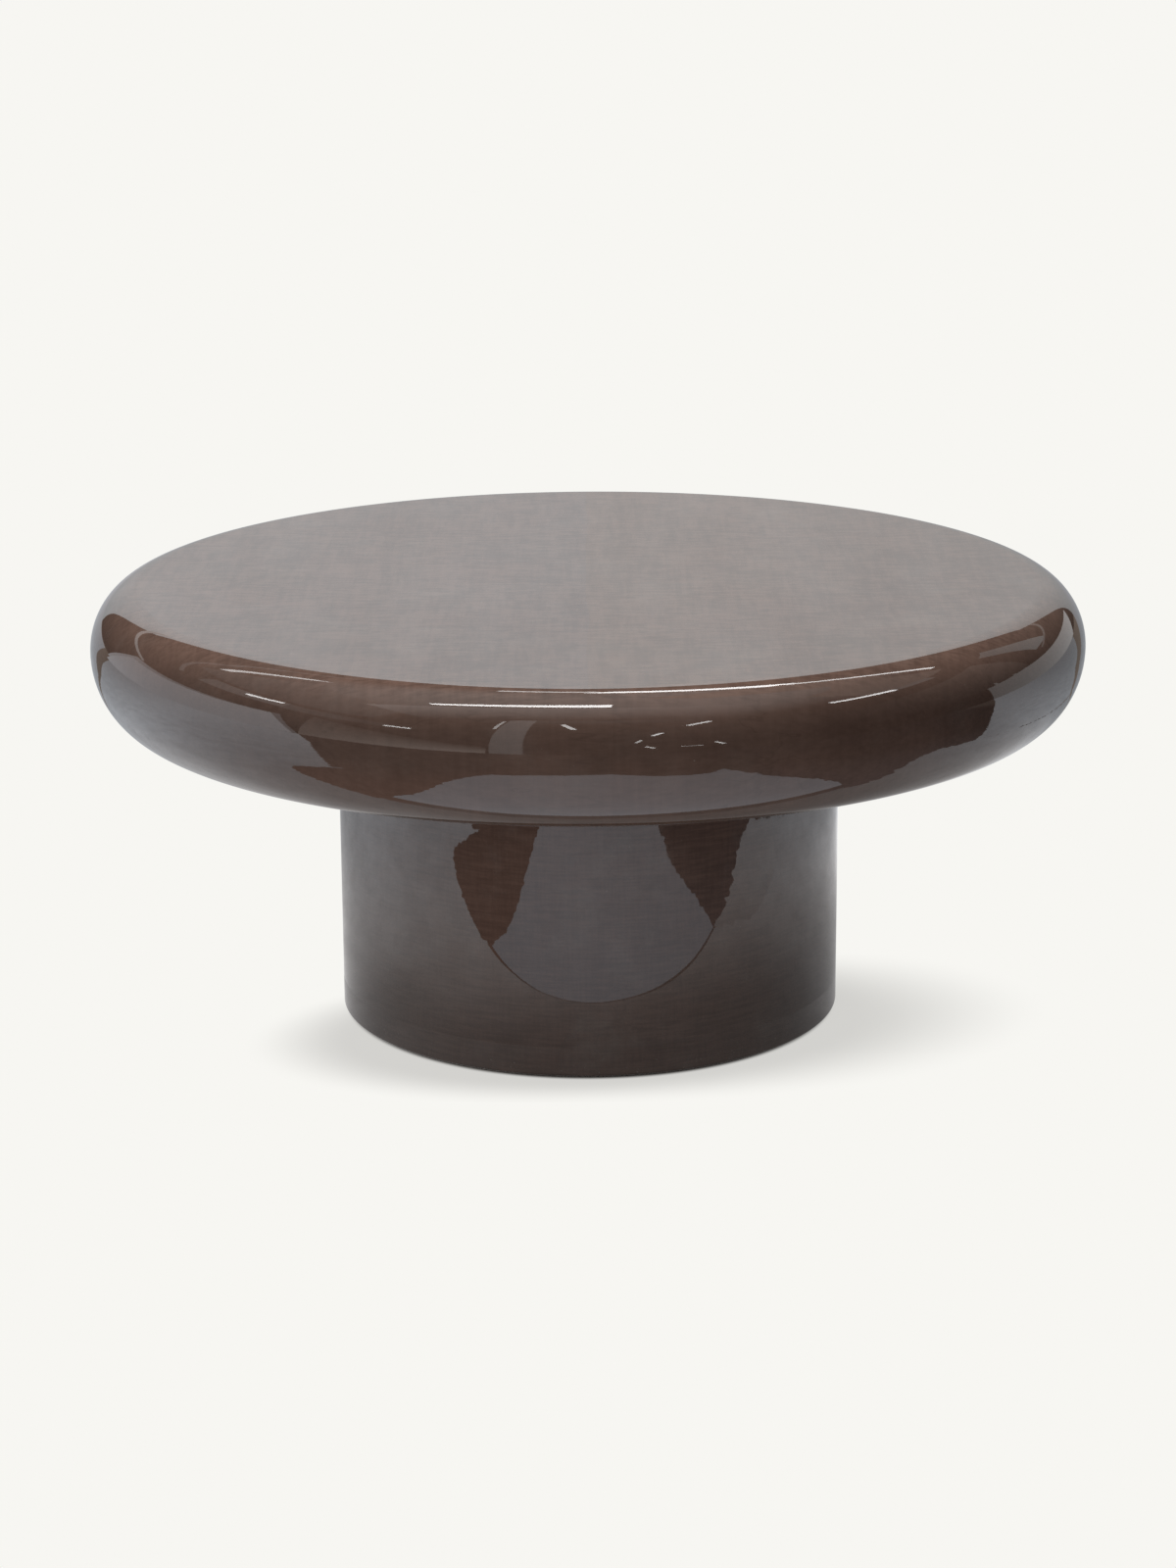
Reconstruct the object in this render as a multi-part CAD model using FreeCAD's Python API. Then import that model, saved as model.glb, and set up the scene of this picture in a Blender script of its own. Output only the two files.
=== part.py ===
import FreeCAD, Part
import math
import os

# Round cocktail table: a thick lacquered disc with a rounded rim on a cylindrical drum.
# Millimetres, +Z up, origin on the floor under the middle of the drum.

# Outside of the table
top_diameter = 914.0
overall_height = 406.0
top_thickness = 120.0
rim_upper_run = 46.0  # from the edge of the flat top out to the widest line
rim_upper_drop = 54.0  # from the flat top down to the widest line
rim_lower_run = 54.0  # from the widest line in to the flat underside
drum_diameter = 466.0
drum_edge_radius = 2.0
floor_gap = 3.0  # dark line under the drum

# Lacquered shells
shell_wall = 5.0
drum_wall = 6.0
seam_band_height = 30.0
seam_band_thickness = 3.0

# Boards inside the top
deck_thickness = 15.0
deck_margin = 6.0  # kept clear of the bend of the rim
hub_thickness = 24.0
hub_overhang = 12.0  # reach of the hub past the drum
core_ring_diameter = 130.0
core_ring_wall = 20.0
rib_count = 8
rib_thickness = 18.0
rib_margin = 6.0  # kept clear of the bend of the rim

# Boards and posts inside the drum
top_plate_thickness = 18.0
bottom_plate_thickness = 18.0
bottom_plate_width = 112.0
former_thickness = 18.0
former_width = 30.0
post_count = 4
post_size = 45.0
cover_thickness = 6.0
cover_lap = 20.0  # width of the cover's seat round the access opening

# Bolted joint between the top and the drum
bolt_count = 6
bolt_circle_diameter = 240.0
bolt_diameter = 8.0
bolt_head_flats = 13.0
bolt_head_height = 5.3
bolt_tip_gap = 2.6  # from the bolt's end to the insert's end
washer_diameter = 16.0
washer_thickness = 1.6
insert_diameter = 12.0
insert_backing = 6.0  # board left above an insert

# Countersunk screws
post_screw_diameter = 5.0
post_screw_length = 50.0
cover_screw_count = 6
cover_screw_diameter = 4.0
cover_screw_length = 16.0

# Levelling feet
leveller_count = 4
leveller_travel = 10.0
leveller_edge = 17.0  # from the inside of the drum to a pad
stud_diameter = 8.0
stud_chamfer = 1.0
stud_spare = 0.5  # thread left above the tee nut's board at full travel
collar_flats = 13.0
collar_height = 6.0
spigot_diameter = 10.0
spigot_end_gap = 0.3
pad_diameter = 40.0
pad_thickness = 10.0
pad_floor = 4.0  # nylon left under the spigot
pad_chamfer = 1.5
tee_flange_diameter = 22.0
tee_flange_thickness = 1.5
tee_barrel_diameter = 10.0
tee_barrel_setback = 6.0  # board left above the tee nut's barrel

# Clearances, each on the radius
glue_gap = 0.3
bolt_clearance = 0.5
washer_clearance = 0.2
seat_clearance = 0.1
thread_clearance = 0.08

# Heights
underside_z = overall_height - top_thickness
widest_z = overall_height - rim_upper_drop
deck_high_z = overall_height - shell_wall
deck_low_z = deck_high_z - deck_thickness
hub_low_z = underside_z + shell_wall
hub_high_z = hub_low_z + hub_thickness
top_plate_low_z = underside_z - top_plate_thickness
collar_low_z = pad_thickness
collar_high_z = collar_low_z + collar_height
bottom_plate_low_z = collar_high_z + tee_flange_thickness
bottom_plate_high_z = bottom_plate_low_z + bottom_plate_thickness
former_low_z = (bottom_plate_high_z + top_plate_low_z - former_thickness) / 2

# Radii
top_radius = top_diameter / 2
flat_top_radius = top_radius - rim_upper_run
underside_radius = top_radius - rim_lower_run
drum_radius = drum_diameter / 2
drum_inner_radius = drum_radius - drum_wall
board_radius = drum_inner_radius - glue_gap
hub_radius = drum_radius + hub_overhang
core_ring_radius = core_ring_diameter / 2
access_radius = board_radius - bottom_plate_width
cover_radius = access_radius + cover_lap
former_inner_radius = board_radius - former_width
bolt_hole_radius = bolt_diameter / 2 + bolt_clearance
insert_bore_radius = bolt_diameter / 2 + seat_clearance

# Lengths that follow from what the fasteners join
insert_length = hub_thickness - insert_backing
bolt_grip = washer_thickness + top_plate_thickness + shell_wall
bolt_length = bolt_grip + insert_length - bolt_tip_gap
tee_barrel_length = bottom_plate_thickness - tee_barrel_setback
stud_length = tee_flange_thickness + bottom_plate_thickness + leveller_travel + stud_spare
pad_bore_depth = pad_thickness - pad_floor
spigot_length = pad_bore_depth - spigot_end_gap

# Places round the axis: the posts' outer corners stand just inside the former
post_reach = math.sqrt((former_inner_radius - glue_gap) ** 2 - (post_size / 2) ** 2)
post_centre_radius = post_reach - post_size / 2
leveller_radius = drum_inner_radius - leveller_edge - pad_diameter / 2
cover_screw_radius = access_radius + cover_lap / 2
post_first_angle = 180.0 / post_count
cover_screw_first_angle = 180.0 / cover_screw_count

AXIS = FreeCAD.Vector(0, 0, 1)
ORIGIN = FreeCAD.Vector(0, 0, 0)
HEXAGON_CORNERS = 6


def at(radius, z):
    """A point of a profile that is turned about the axis."""
    return FreeCAD.Vector(radius, 0, z)


def angles(count, first=0.0):
    """Even steps round the axis, in degrees."""
    return [first + 360.0 * step / count for step in range(count)]


def moved_round(shape, radius, angle):
    """A shape made on the axis, carried out along X and then turned about the axis."""
    return shape.translated(FreeCAD.Vector(radius, 0, 0)).rotated(ORIGIN, AXIS, angle)


def bolt_set(piece):
    """One copy of a piece at every bolt of the joint."""
    return [moved_round(piece, bolt_circle_diameter / 2, angle) for angle in angles(bolt_count)]


def foot_set(piece):
    """One copy of a piece at every levelling foot."""
    return [moved_round(piece, leveller_radius, angle) for angle in angles(leveller_count)]


def cylinder(radius, low, high):
    return Part.makeCylinder(radius, high - low, FreeCAD.Vector(0, 0, low))


def ring(outer_radius, inner_radius, low, high):
    return cylinder(outer_radius, low, high).cut(cylinder(inner_radius, low, high))


def hexagon(flats, low, high):
    corner_radius = flats / math.sqrt(3)
    turns = [FreeCAD.Rotation(AXIS, angle) for angle in angles(HEXAGON_CORNERS)]
    corners = [turn.multVec(at(corner_radius, low)) for turn in turns]
    outline = Part.makePolygon(corners + corners[:1])
    return Part.Face(outline).extrude(FreeCAD.Vector(0, 0, high - low))


def turned(edges):
    """A closed profile in the XZ plane, turned into a solid about the axis."""
    outline = Part.Wire(Part.__sortEdges__(edges))
    return Part.Face(outline).revolve(ORIGIN, AXIS, 360)


def turned_outline(points):
    """Straight lines through (radius, z) points, turned into a solid about the axis."""
    corners = [at(radius, z) for radius, z in points]
    return turned(Part.makePolygon(corners + corners[:1]).Edges)


def round_quarter(start, corner, end):
    """A quarter of an ellipse that is tangent to start-corner and to corner-end."""
    curve = Part.BezierCurve()
    curve.setPoles([start, corner, end])
    curve.setWeight(2, math.sqrt(0.5))
    return curve.toShape()


def countersunk_screw(diameter, length, grow=0.0):
    """A screw that points up, with its head's face at z = 0, thicker all round by grow."""
    shank_radius = diameter / 2 + grow
    head_radius = diameter + grow
    head_depth = diameter / 2
    tip_z = length + grow
    return turned_outline(
        [
            (0, 0),
            (head_radius, 0),
            (shank_radius, head_depth),
            (shank_radius, tip_z - diameter),
            (0, tip_z),
        ]
    )


def top_form(inset):
    """The whole outside of the top, drawn in by inset all round."""
    low_z = underside_z + inset
    high_z = overall_height - inset
    rim = at(top_radius - inset, widest_z)
    low_axis = at(0, low_z)
    low_flat = at(underside_radius, low_z)
    high_flat = at(flat_top_radius, high_z)
    high_axis = at(0, high_z)
    return turned(
        [
            Part.makeLine(low_axis, low_flat),
            round_quarter(low_flat, at(rim.x, low_z), rim),
            round_quarter(rim, at(rim.x, high_z), high_flat),
            Part.makeLine(high_flat, high_axis),
            Part.makeLine(high_axis, low_axis),
        ]
    )


def bolt_holes(low, high):
    return bolt_set(cylinder(bolt_hole_radius, low, high))


def top_shells():
    """The two halves of the top's skin, which meet at the widest line."""
    skin = top_form(0).cut(top_form(shell_wall))
    upper = skin.common(cylinder(top_radius, widest_z, overall_height))
    lower = skin.common(cylinder(top_radius, underside_z, widest_z))
    return upper, lower.cut(bolt_holes(underside_z, hub_low_z))


def seam_band():
    """A strip that follows the inside of the rim and bridges the seam of the shells."""
    outside = shell_wall + glue_gap
    strip = top_form(outside).cut(top_form(outside + seam_band_thickness))
    half_height = seam_band_height / 2
    return strip.common(cylinder(top_radius, widest_z - half_height, widest_z + half_height))


def top_deck():
    return cylinder(flat_top_radius - deck_margin, deck_low_z, deck_high_z)


def top_hub():
    seat = cylinder(insert_diameter / 2 + seat_clearance, hub_low_z, hub_low_z + insert_length)
    return cylinder(hub_radius, hub_low_z, hub_high_z).cut(bolt_set(seat))


def core_ring():
    return ring(core_ring_radius, core_ring_radius - core_ring_wall, hub_high_z, deck_low_z)


def top_rib():
    """A radial board along X, notched over the hub, from the core ring to the rim's bend."""
    inner = core_ring_radius + glue_gap
    notch = hub_radius + glue_gap
    outer = underside_radius - rib_margin
    corners = [
        at(inner, hub_high_z),
        at(notch, hub_high_z),
        at(notch, hub_low_z),
        at(outer, hub_low_z),
        at(outer, deck_low_z),
        at(inner, deck_low_z),
    ]
    board = Part.Face(Part.makePolygon(corners + corners[:1]))
    centred = board.translated(FreeCAD.Vector(0, -rib_thickness / 2, 0))
    return centred.extrude(FreeCAD.Vector(0, rib_thickness, 0))


def hub_insert():
    return ring(insert_diameter / 2, insert_bore_radius, hub_low_z, hub_low_z + insert_length)


def joint_washer():
    bore_radius = bolt_diameter / 2 + washer_clearance
    return ring(washer_diameter / 2, bore_radius, top_plate_low_z - washer_thickness, top_plate_low_z)


def joint_bolt():
    head_z = top_plate_low_z - washer_thickness
    head = hexagon(bolt_head_flats, head_z - bolt_head_height, head_z)
    shank = cylinder(bolt_diameter / 2, head_z, head_z + bolt_length)
    return head.fuse(shank).removeSplitter()


def drum_shell():
    inner_low = at(drum_inner_radius, floor_gap)
    edge_in = at(drum_radius - drum_edge_radius, floor_gap)
    edge_up = at(drum_radius, floor_gap + drum_edge_radius)
    outer_high = at(drum_radius, underside_z)
    inner_high = at(drum_inner_radius, underside_z)
    return turned(
        [
            Part.makeLine(inner_low, edge_in),
            round_quarter(edge_in, at(drum_radius, floor_gap), edge_up),
            Part.makeLine(edge_up, outer_high),
            Part.makeLine(outer_high, inner_high),
            Part.makeLine(inner_high, inner_low),
        ]
    )


def post_screws_from_below(grow=0.0):
    """The lower screws of all posts, two in each, with their heads in the bottom plate."""
    screw = countersunk_screw(post_screw_diameter, post_screw_length, grow)
    screws = []
    for angle in angles(post_count, post_first_angle):
        for side in (-1, 1):
            place = FreeCAD.Vector(0, side * post_size / 4, bottom_plate_low_z)
            screws.append(moved_round(screw.translated(place), post_centre_radius, angle))
    return screws


def post_screws_from_above(grow=0.0):
    """The upper screws of all posts: the lower ones turned over, in the top plate."""
    middle = FreeCAD.Vector(0, 0, (bottom_plate_low_z + underside_z) / 2)
    across = FreeCAD.Vector(1, 0, 0)
    return [screw.rotated(middle, across, 180) for screw in post_screws_from_below(grow)]


def drum_top_plate():
    plate = cylinder(board_radius, top_plate_low_z, underside_z)
    screw_holes = post_screws_from_above(seat_clearance)
    return plate.cut(bolt_holes(top_plate_low_z, underside_z) + screw_holes)


def drum_mid_former():
    return ring(board_radius, former_inner_radius, former_low_z, former_low_z + former_thickness)


def cover_screws(grow=0.0):
    screw = countersunk_screw(cover_screw_diameter, cover_screw_length, grow)
    raised = screw.translated(FreeCAD.Vector(0, 0, bottom_plate_low_z - cover_thickness))
    places = angles(cover_screw_count, cover_screw_first_angle)
    return [moved_round(raised, cover_screw_radius, angle) for angle in places]


def drum_bottom_plate():
    plate = ring(board_radius, access_radius, bottom_plate_low_z, bottom_plate_high_z)
    seat = cylinder(tee_barrel_diameter / 2 + seat_clearance, bottom_plate_low_z, bottom_plate_high_z)
    screw_holes = post_screws_from_below(seat_clearance) + cover_screws(seat_clearance)
    return plate.cut(foot_set(seat) + screw_holes)


def access_cover():
    cover = cylinder(cover_radius, bottom_plate_low_z - cover_thickness, bottom_plate_low_z)
    return cover.cut(cover_screws(seat_clearance))


def drum_posts():
    half = post_size / 2
    corner = FreeCAD.Vector(-half, -half, bottom_plate_high_z)
    block = Part.makeBox(post_size, post_size, top_plate_low_z - bottom_plate_high_z, corner)
    pilots = post_screws_from_below(seat_clearance) + post_screws_from_above(seat_clearance)
    places = angles(post_count, post_first_angle)
    return [moved_round(block, post_centre_radius, angle).cut(pilots) for angle in places]


def leveller_tee_nut():
    bore = stud_diameter / 2 + thread_clearance
    return turned_outline(
        [
            (bore, collar_high_z),
            (tee_flange_diameter / 2, collar_high_z),
            (tee_flange_diameter / 2, bottom_plate_low_z),
            (tee_barrel_diameter / 2, bottom_plate_low_z),
            (tee_barrel_diameter / 2, bottom_plate_low_z + tee_barrel_length),
            (bore, bottom_plate_low_z + tee_barrel_length),
        ]
    )


def leveller_stud():
    """A threaded rod with a hex collar, and a spigot below it that turns in the pad."""
    stud_radius = stud_diameter / 2
    rod = turned_outline(
        [
            (0, collar_high_z),
            (stud_radius, collar_high_z),
            (stud_radius, collar_high_z + stud_length - stud_chamfer),
            (stud_radius - stud_chamfer, collar_high_z + stud_length),
            (0, collar_high_z + stud_length),
        ]
    )
    collar = hexagon(collar_flats, collar_low_z, collar_high_z)
    spigot = cylinder(spigot_diameter / 2, collar_low_z - spigot_length, collar_low_z)
    return collar.fuse([rod, spigot]).removeSplitter()


def leveller_pad():
    pad_radius = pad_diameter / 2
    bore = spigot_diameter / 2 + thread_clearance
    return turned_outline(
        [
            (0, 0),
            (pad_radius - pad_chamfer, 0),
            (pad_radius, pad_chamfer),
            (pad_radius, pad_thickness - pad_chamfer),
            (pad_radius - pad_chamfer, pad_thickness),
            (bore, pad_thickness),
            (bore, pad_thickness - pad_bore_depth),
            (0, pad_thickness - pad_bore_depth),
        ]
    )


def numbered(name, shapes):
    return {f"{name}_{number}": shape for number, shape in enumerate(shapes, start=1)}


def all_nodes():
    """Every named piece of the table with its shape."""
    top_upper_shell, top_lower_shell = top_shells()
    nodes = {
        "top_upper_shell": top_upper_shell,
        "top_lower_shell": top_lower_shell,
        "seam_band": seam_band(),
        "top_deck": top_deck(),
        "top_hub": top_hub(),
        "core_ring": core_ring(),
        "hub_inserts": Part.makeCompound(bolt_set(hub_insert())),
        "joint_bolts": Part.makeCompound(bolt_set(joint_bolt())),
        "joint_washers": Part.makeCompound(bolt_set(joint_washer())),
        "drum_shell": drum_shell(),
        "drum_top_plate": drum_top_plate(),
        "drum_mid_former": drum_mid_former(),
        "drum_bottom_plate": drum_bottom_plate(),
        "post_screws": Part.makeCompound(post_screws_from_below() + post_screws_from_above()),
        "access_cover": access_cover(),
        "cover_screws": Part.makeCompound(cover_screws()),
        "leveller_tee_nuts": Part.makeCompound(foot_set(leveller_tee_nut())),
    }
    ribs = [top_rib().rotated(ORIGIN, AXIS, angle) for angle in angles(rib_count)]
    nodes.update(numbered("top_rib", ribs))
    nodes.update(numbered("drum_post", drum_posts()))
    nodes.update(numbered("leveller_stud", foot_set(leveller_stud())))
    nodes.update(numbered("leveller_pad", foot_set(leveller_pad())))
    return nodes


os.makedirs("parts", exist_ok=True)
for node, shape in all_nodes().items():
    solids = shape.Solids
    if not solids or not shape.isValid():
        raise RuntimeError(f"{node} is not a sound solid")
    whole = solids[0] if len(solids) == 1 else Part.makeCompound(solids)
    whole.exportStep(f"parts/{node}.step")
    volume = sum(solid.Volume for solid in solids)
    print(f"{node}: {len(solids)} solid(s), {volume / 1000:.1f} cm3")
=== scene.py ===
"""Finish of a round cocktail table: seamless gloss lacquer on a thick disc and a drum, raw boards inside.

The file is laid out as an add-on and run as a script. Lengths are in metres, colours are linear.
"""
import math

import bpy
import numpy as np
from bpy.props import FloatProperty, FloatVectorProperty, IntProperty, PointerProperty
from mathutils import Matrix, Vector, noise


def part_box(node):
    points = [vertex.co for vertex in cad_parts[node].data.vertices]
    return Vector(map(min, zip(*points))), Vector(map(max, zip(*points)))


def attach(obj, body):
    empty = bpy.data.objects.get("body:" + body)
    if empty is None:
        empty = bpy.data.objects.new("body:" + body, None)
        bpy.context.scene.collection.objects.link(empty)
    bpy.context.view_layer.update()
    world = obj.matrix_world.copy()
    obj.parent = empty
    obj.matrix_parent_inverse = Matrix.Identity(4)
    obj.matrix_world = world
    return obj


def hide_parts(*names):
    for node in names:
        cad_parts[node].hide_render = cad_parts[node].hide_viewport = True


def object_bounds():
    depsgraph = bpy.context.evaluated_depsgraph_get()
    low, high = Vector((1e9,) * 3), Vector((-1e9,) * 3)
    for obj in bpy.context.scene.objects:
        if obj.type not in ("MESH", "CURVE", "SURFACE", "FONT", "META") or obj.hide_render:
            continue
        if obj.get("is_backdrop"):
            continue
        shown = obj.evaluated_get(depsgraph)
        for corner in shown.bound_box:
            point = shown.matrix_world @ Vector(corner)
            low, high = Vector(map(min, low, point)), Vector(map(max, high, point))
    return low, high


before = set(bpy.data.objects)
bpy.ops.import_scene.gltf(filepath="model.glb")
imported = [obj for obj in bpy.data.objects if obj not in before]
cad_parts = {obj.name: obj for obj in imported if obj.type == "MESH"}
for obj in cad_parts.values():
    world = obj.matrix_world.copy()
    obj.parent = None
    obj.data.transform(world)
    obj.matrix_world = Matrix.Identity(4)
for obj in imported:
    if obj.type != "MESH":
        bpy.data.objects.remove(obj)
CAD_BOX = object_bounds()

bl_info = {
    "name": "Round cocktail table finish",
    "version": (1, 0, 0),
    "blender": (4, 5, 0),
    "location": "3D View > Sidebar > Table",
    "description": "Lacquer, boards, fasteners, feet and stage of a round cocktail table",
    "category": "Object",
}

# Sizes read from the frame

TABLE_BODY = "table"
WELD_DIGITS = 6
UPPER_LOW, UPPER_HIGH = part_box("top_upper_shell")
LOWER_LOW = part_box("top_lower_shell")[0]
DRUM_LOW, DRUM_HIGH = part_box("drum_shell")
COVER_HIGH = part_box("access_cover")[1]


def reach(node, height, slack=1e-4):
    """Largest radius that a node's mesh has at a height."""
    points = [vertex.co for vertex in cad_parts[node].data.vertices]
    return max(math.hypot(p.x, p.y) for p in points if abs(p.z - height) < slack)


def bore(node):
    """Smallest radius of a node's mesh."""
    return min(math.hypot(v.co.x, v.co.y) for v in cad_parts[node].data.vertices)


def middle(low, high):
    """Middle of a box."""
    return (low + high) / 2


def bearing(point):
    """Angle of a point about Z."""
    return math.atan2(point.y, point.x)


def loose_boxes(node):
    """Lowest and highest corner of each separate solid in a node."""
    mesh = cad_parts[node].data
    corners = np.array([vertex.co for vertex in mesh.vertices])
    points, at = np.unique(corners.round(WELD_DIGITS), axis=0, return_inverse=True)
    at = at.ravel()
    edges = np.array([[at[a], at[b]] for a, b in (edge.vertices for edge in mesh.edges)])
    group = np.arange(len(points))
    settled = False
    while not settled:
        before = group.copy()
        lowest = np.minimum(group[edges[:, 0]], group[edges[:, 1]])
        np.minimum.at(group, edges[:, 0], lowest)
        np.minimum.at(group, edges[:, 1], lowest)
        settled = np.array_equal(group, before)
    solids = [points[group == k] for k in np.unique(group)]
    return [(Vector(solid.min(axis=0)), Vector(solid.max(axis=0))) for solid in solids]


def nodes_like(start):
    """Names of the frame's nodes that start with a given word."""
    return [name for name in sorted(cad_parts) if name.startswith(start)]


# Settings that a user would change

FEWEST_SEGMENTS = 48


def length_setting(name, description, default):
    """A setting in metres."""
    return FloatProperty(name=name, description=description, default=default, unit="LENGTH")


def factor_setting(name, description, default):
    """A setting between 0 and 1."""
    return FloatProperty(name=name, description=description, default=default, subtype="FACTOR")


def angle_setting(name, description, default):
    """A setting in radians."""
    return FloatProperty(name=name, description=description, default=default, unit="ROTATION")


def power_setting(name, description, default):
    """A setting in watts."""
    return FloatProperty(name=name, description=description, default=default, unit="POWER")


def colour_setting(name, description, default):
    """A linear colour."""
    return FloatVectorProperty(name=name, description=description, default=default, subtype="COLOR")


def segments_setting(description, default):
    """The number of faces round a turned piece."""
    return IntProperty(name="Segments", description=description, default=default, min=FEWEST_SEGMENTS)


class TopSizes(bpy.types.PropertyGroup):
    """Sizes of the lacquered top"""

    radius: length_setting("Radius", "Half the width at the widest line", UPPER_HIGH.x)
    flat_radius: length_setting(
        "Flat radius", "Radius of the flat upper face", reach("top_upper_shell", UPPER_HIGH.z))
    underside_radius: length_setting(
        "Underside radius", "Radius of the flat underside", reach("top_lower_shell", LOWER_LOW.z))
    height: length_setting("Height", "Height of the flat above the floor", UPPER_HIGH.z)
    widest_height: length_setting("Widest height", "Height of the rim's widest line", UPPER_LOW.z)
    underside_height: length_setting("Underside height", "Height of the underside", LOWER_LOW.z)
    wall: length_setting("Wall", "Thickness of the shell", 0.005)
    segments: segments_setting("Faces round the rim", 384)


class DrumSizes(bpy.types.PropertyGroup):
    """Sizes of the lacquered drum"""

    radius: length_setting("Radius", "Outer radius of the drum", DRUM_HIGH.x)
    inner_radius: length_setting("Inner radius", "Radius of the drum's inside", bore("drum_shell"))
    foot: length_setting("Foot", "Height of the lower edge above the floor", DRUM_LOW.z)
    head: length_setting("Head", "Height of the upper edge", DRUM_HIGH.z)
    edge_radius: length_setting("Edge radius", "Rounding of the lower edge", 0.002)
    segments: segments_setting("Faces round the drum", 320)


class FittingSizes(bpy.types.PropertyGroup):
    """Sizes of bolts, screws and feet"""

    thread_radius: length_setting("Thread radius", "Radius over the crests of bolts and studs", 0.004)
    pitch: length_setting("Pitch", "Rise of a bolt's or a stud's thread in a turn", 0.00125)
    hex_flats: length_setting("Across flats", "Width of bolt heads and collars", 0.013)
    head_height: length_setting("Bolt head", "Height of a bolt's head", 0.0053)
    collar_height: length_setting("Collar", "Height of a stud's collar", 0.006)
    spigot_radius: length_setting("Spigot radius", "Radius of a stud's end in its pad", 0.005)
    pad_edge: length_setting("Pad edge", "Rounding of a pad's edges", 0.0015)
    pad_floor: length_setting("Pad floor", "Nylon under a stud's end", 0.004)


class LacquerLook(bpy.types.PropertyGroup):
    """Colour and gloss of the lacquer over cloth"""

    dark: colour_setting("Dark", "Lacquer where it lies deep", (0.124, 0.077, 0.061))
    light: colour_setting("Light", "Lacquer where it lies thin", (0.186, 0.117, 0.093))
    dust: colour_setting("Dust", "Specks and faint smears", (0.40, 0.38, 0.36))
    roughness: factor_setting("Roughness", "Roughness of the clean gloss", 0.015)
    smudge: factor_setting("Smudges", "Roughness that handling adds", 0.03)
    waviness: length_setting("Waviness", "Depth of the hollows that hand sanding leaves", 0.00012)
    peel: length_setting("Orange peel", "Depth of the small ripples in the gloss", 0.000002)


class BoardLook(bpy.types.PropertyGroup):
    """Colours of the boards and posts inside"""

    birch: colour_setting("Birch", "Face of the plywood", (0.62, 0.46, 0.29))
    birch_grain: colour_setting("Birch grain", "Grain and cross plies", (0.43, 0.29, 0.16))
    ply: length_setting("Ply", "Thickness of one ply", 0.0014)
    softwood: colour_setting("Softwood", "Early wood of the posts", (0.66, 0.49, 0.30))
    softwood_rings: colour_setting("Softwood rings", "Late wood of the posts", (0.43, 0.25, 0.11))
    stain: colour_setting("Stain", "Dark stain of the cover", (0.085, 0.062, 0.050))
    resin: colour_setting("Resin", "Glass-fibre strip", (0.38, 0.36, 0.26))


class FittingLook(bpy.types.PropertyGroup):
    """Colours of the metals and the nylon"""

    zinc: colour_setting("Zinc", "Bright zinc on steel", (0.62, 0.63, 0.65))
    yellow_zinc: colour_setting("Yellow zinc", "Yellow zinc on screws", (0.62, 0.50, 0.27))
    dull_yellow: colour_setting("Dull yellow", "Yellow zinc where it is dulled", (0.52, 0.45, 0.36))
    brass: colour_setting("Brass", "Turned brass", (0.72, 0.52, 0.22))
    nylon: colour_setting("Nylon", "Black moulded nylon", (0.028, 0.028, 0.030))
    rubbed_nylon: colour_setting("Rubbed nylon", "Nylon where the floor rubs it", (0.11, 0.108, 0.104))


class StageLook(bpy.types.PropertyGroup):
    """Background, camera and lamps"""

    background: colour_setting("Background", "Colour of the floor and backdrop", (0.930, 0.922, 0.888))
    camera_place: FloatVectorProperty(
        name="Camera place", description="Where the camera stands",
        default=(-0.0007, -3.308, 1.131), unit="LENGTH")
    camera_pitch: angle_setting("Camera pitch", "How far the camera looks down", math.radians(15.58))
    camera_roll: angle_setting("Camera roll", "Turn of the camera about its own axis", -0.0061)
    camera_lens: FloatProperty(
        name="Focal length", description="Focal length in millimetres", default=84.2, unit="CAMERA")
    overhead_power: power_setting("Overhead power", "Power of the overhead lamp", 66.0)
    fill_power: power_setting("Fill power", "Power of the lamp near the camera", 10.0)
    bounce_power: power_setting("Bounce power", "Power of the light that comes up from the floor", 0.9)


# Shader maths


class Wire:
    """A node's output. Arithmetic on it adds Math nodes."""

    def __init__(self, shader, socket):
        self.shader = shader
        self.socket = socket

    def math(self, operation, first, second=0.0):
        """A Math node on one or two values."""
        return self.shader.node("ShaderNodeMath", {"operation": operation}, {0: first, 1: second})

    def __add__(self, other):
        return self.math("ADD", self, other)

    def __radd__(self, other):
        return self.math("ADD", other, self)

    def __sub__(self, other):
        return self.math("SUBTRACT", self, other)

    def __rsub__(self, other):
        return self.math("SUBTRACT", other, self)

    def __mul__(self, other):
        return self.math("MULTIPLY", self, other)

    def __rmul__(self, other):
        return self.math("MULTIPLY", other, self)

    def __truediv__(self, other):
        return self.math("DIVIDE", self, other)

    def __pow__(self, other):
        return self.math("POWER", self, other)

    def __abs__(self):
        return self.math("ABSOLUTE", self)

    def fract(self):
        """What is left above the next lower whole number."""
        return self.math("FRACT", self)

    def sine(self):
        """The sine of an angle in radians."""
        return self.math("SINE", self)


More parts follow.
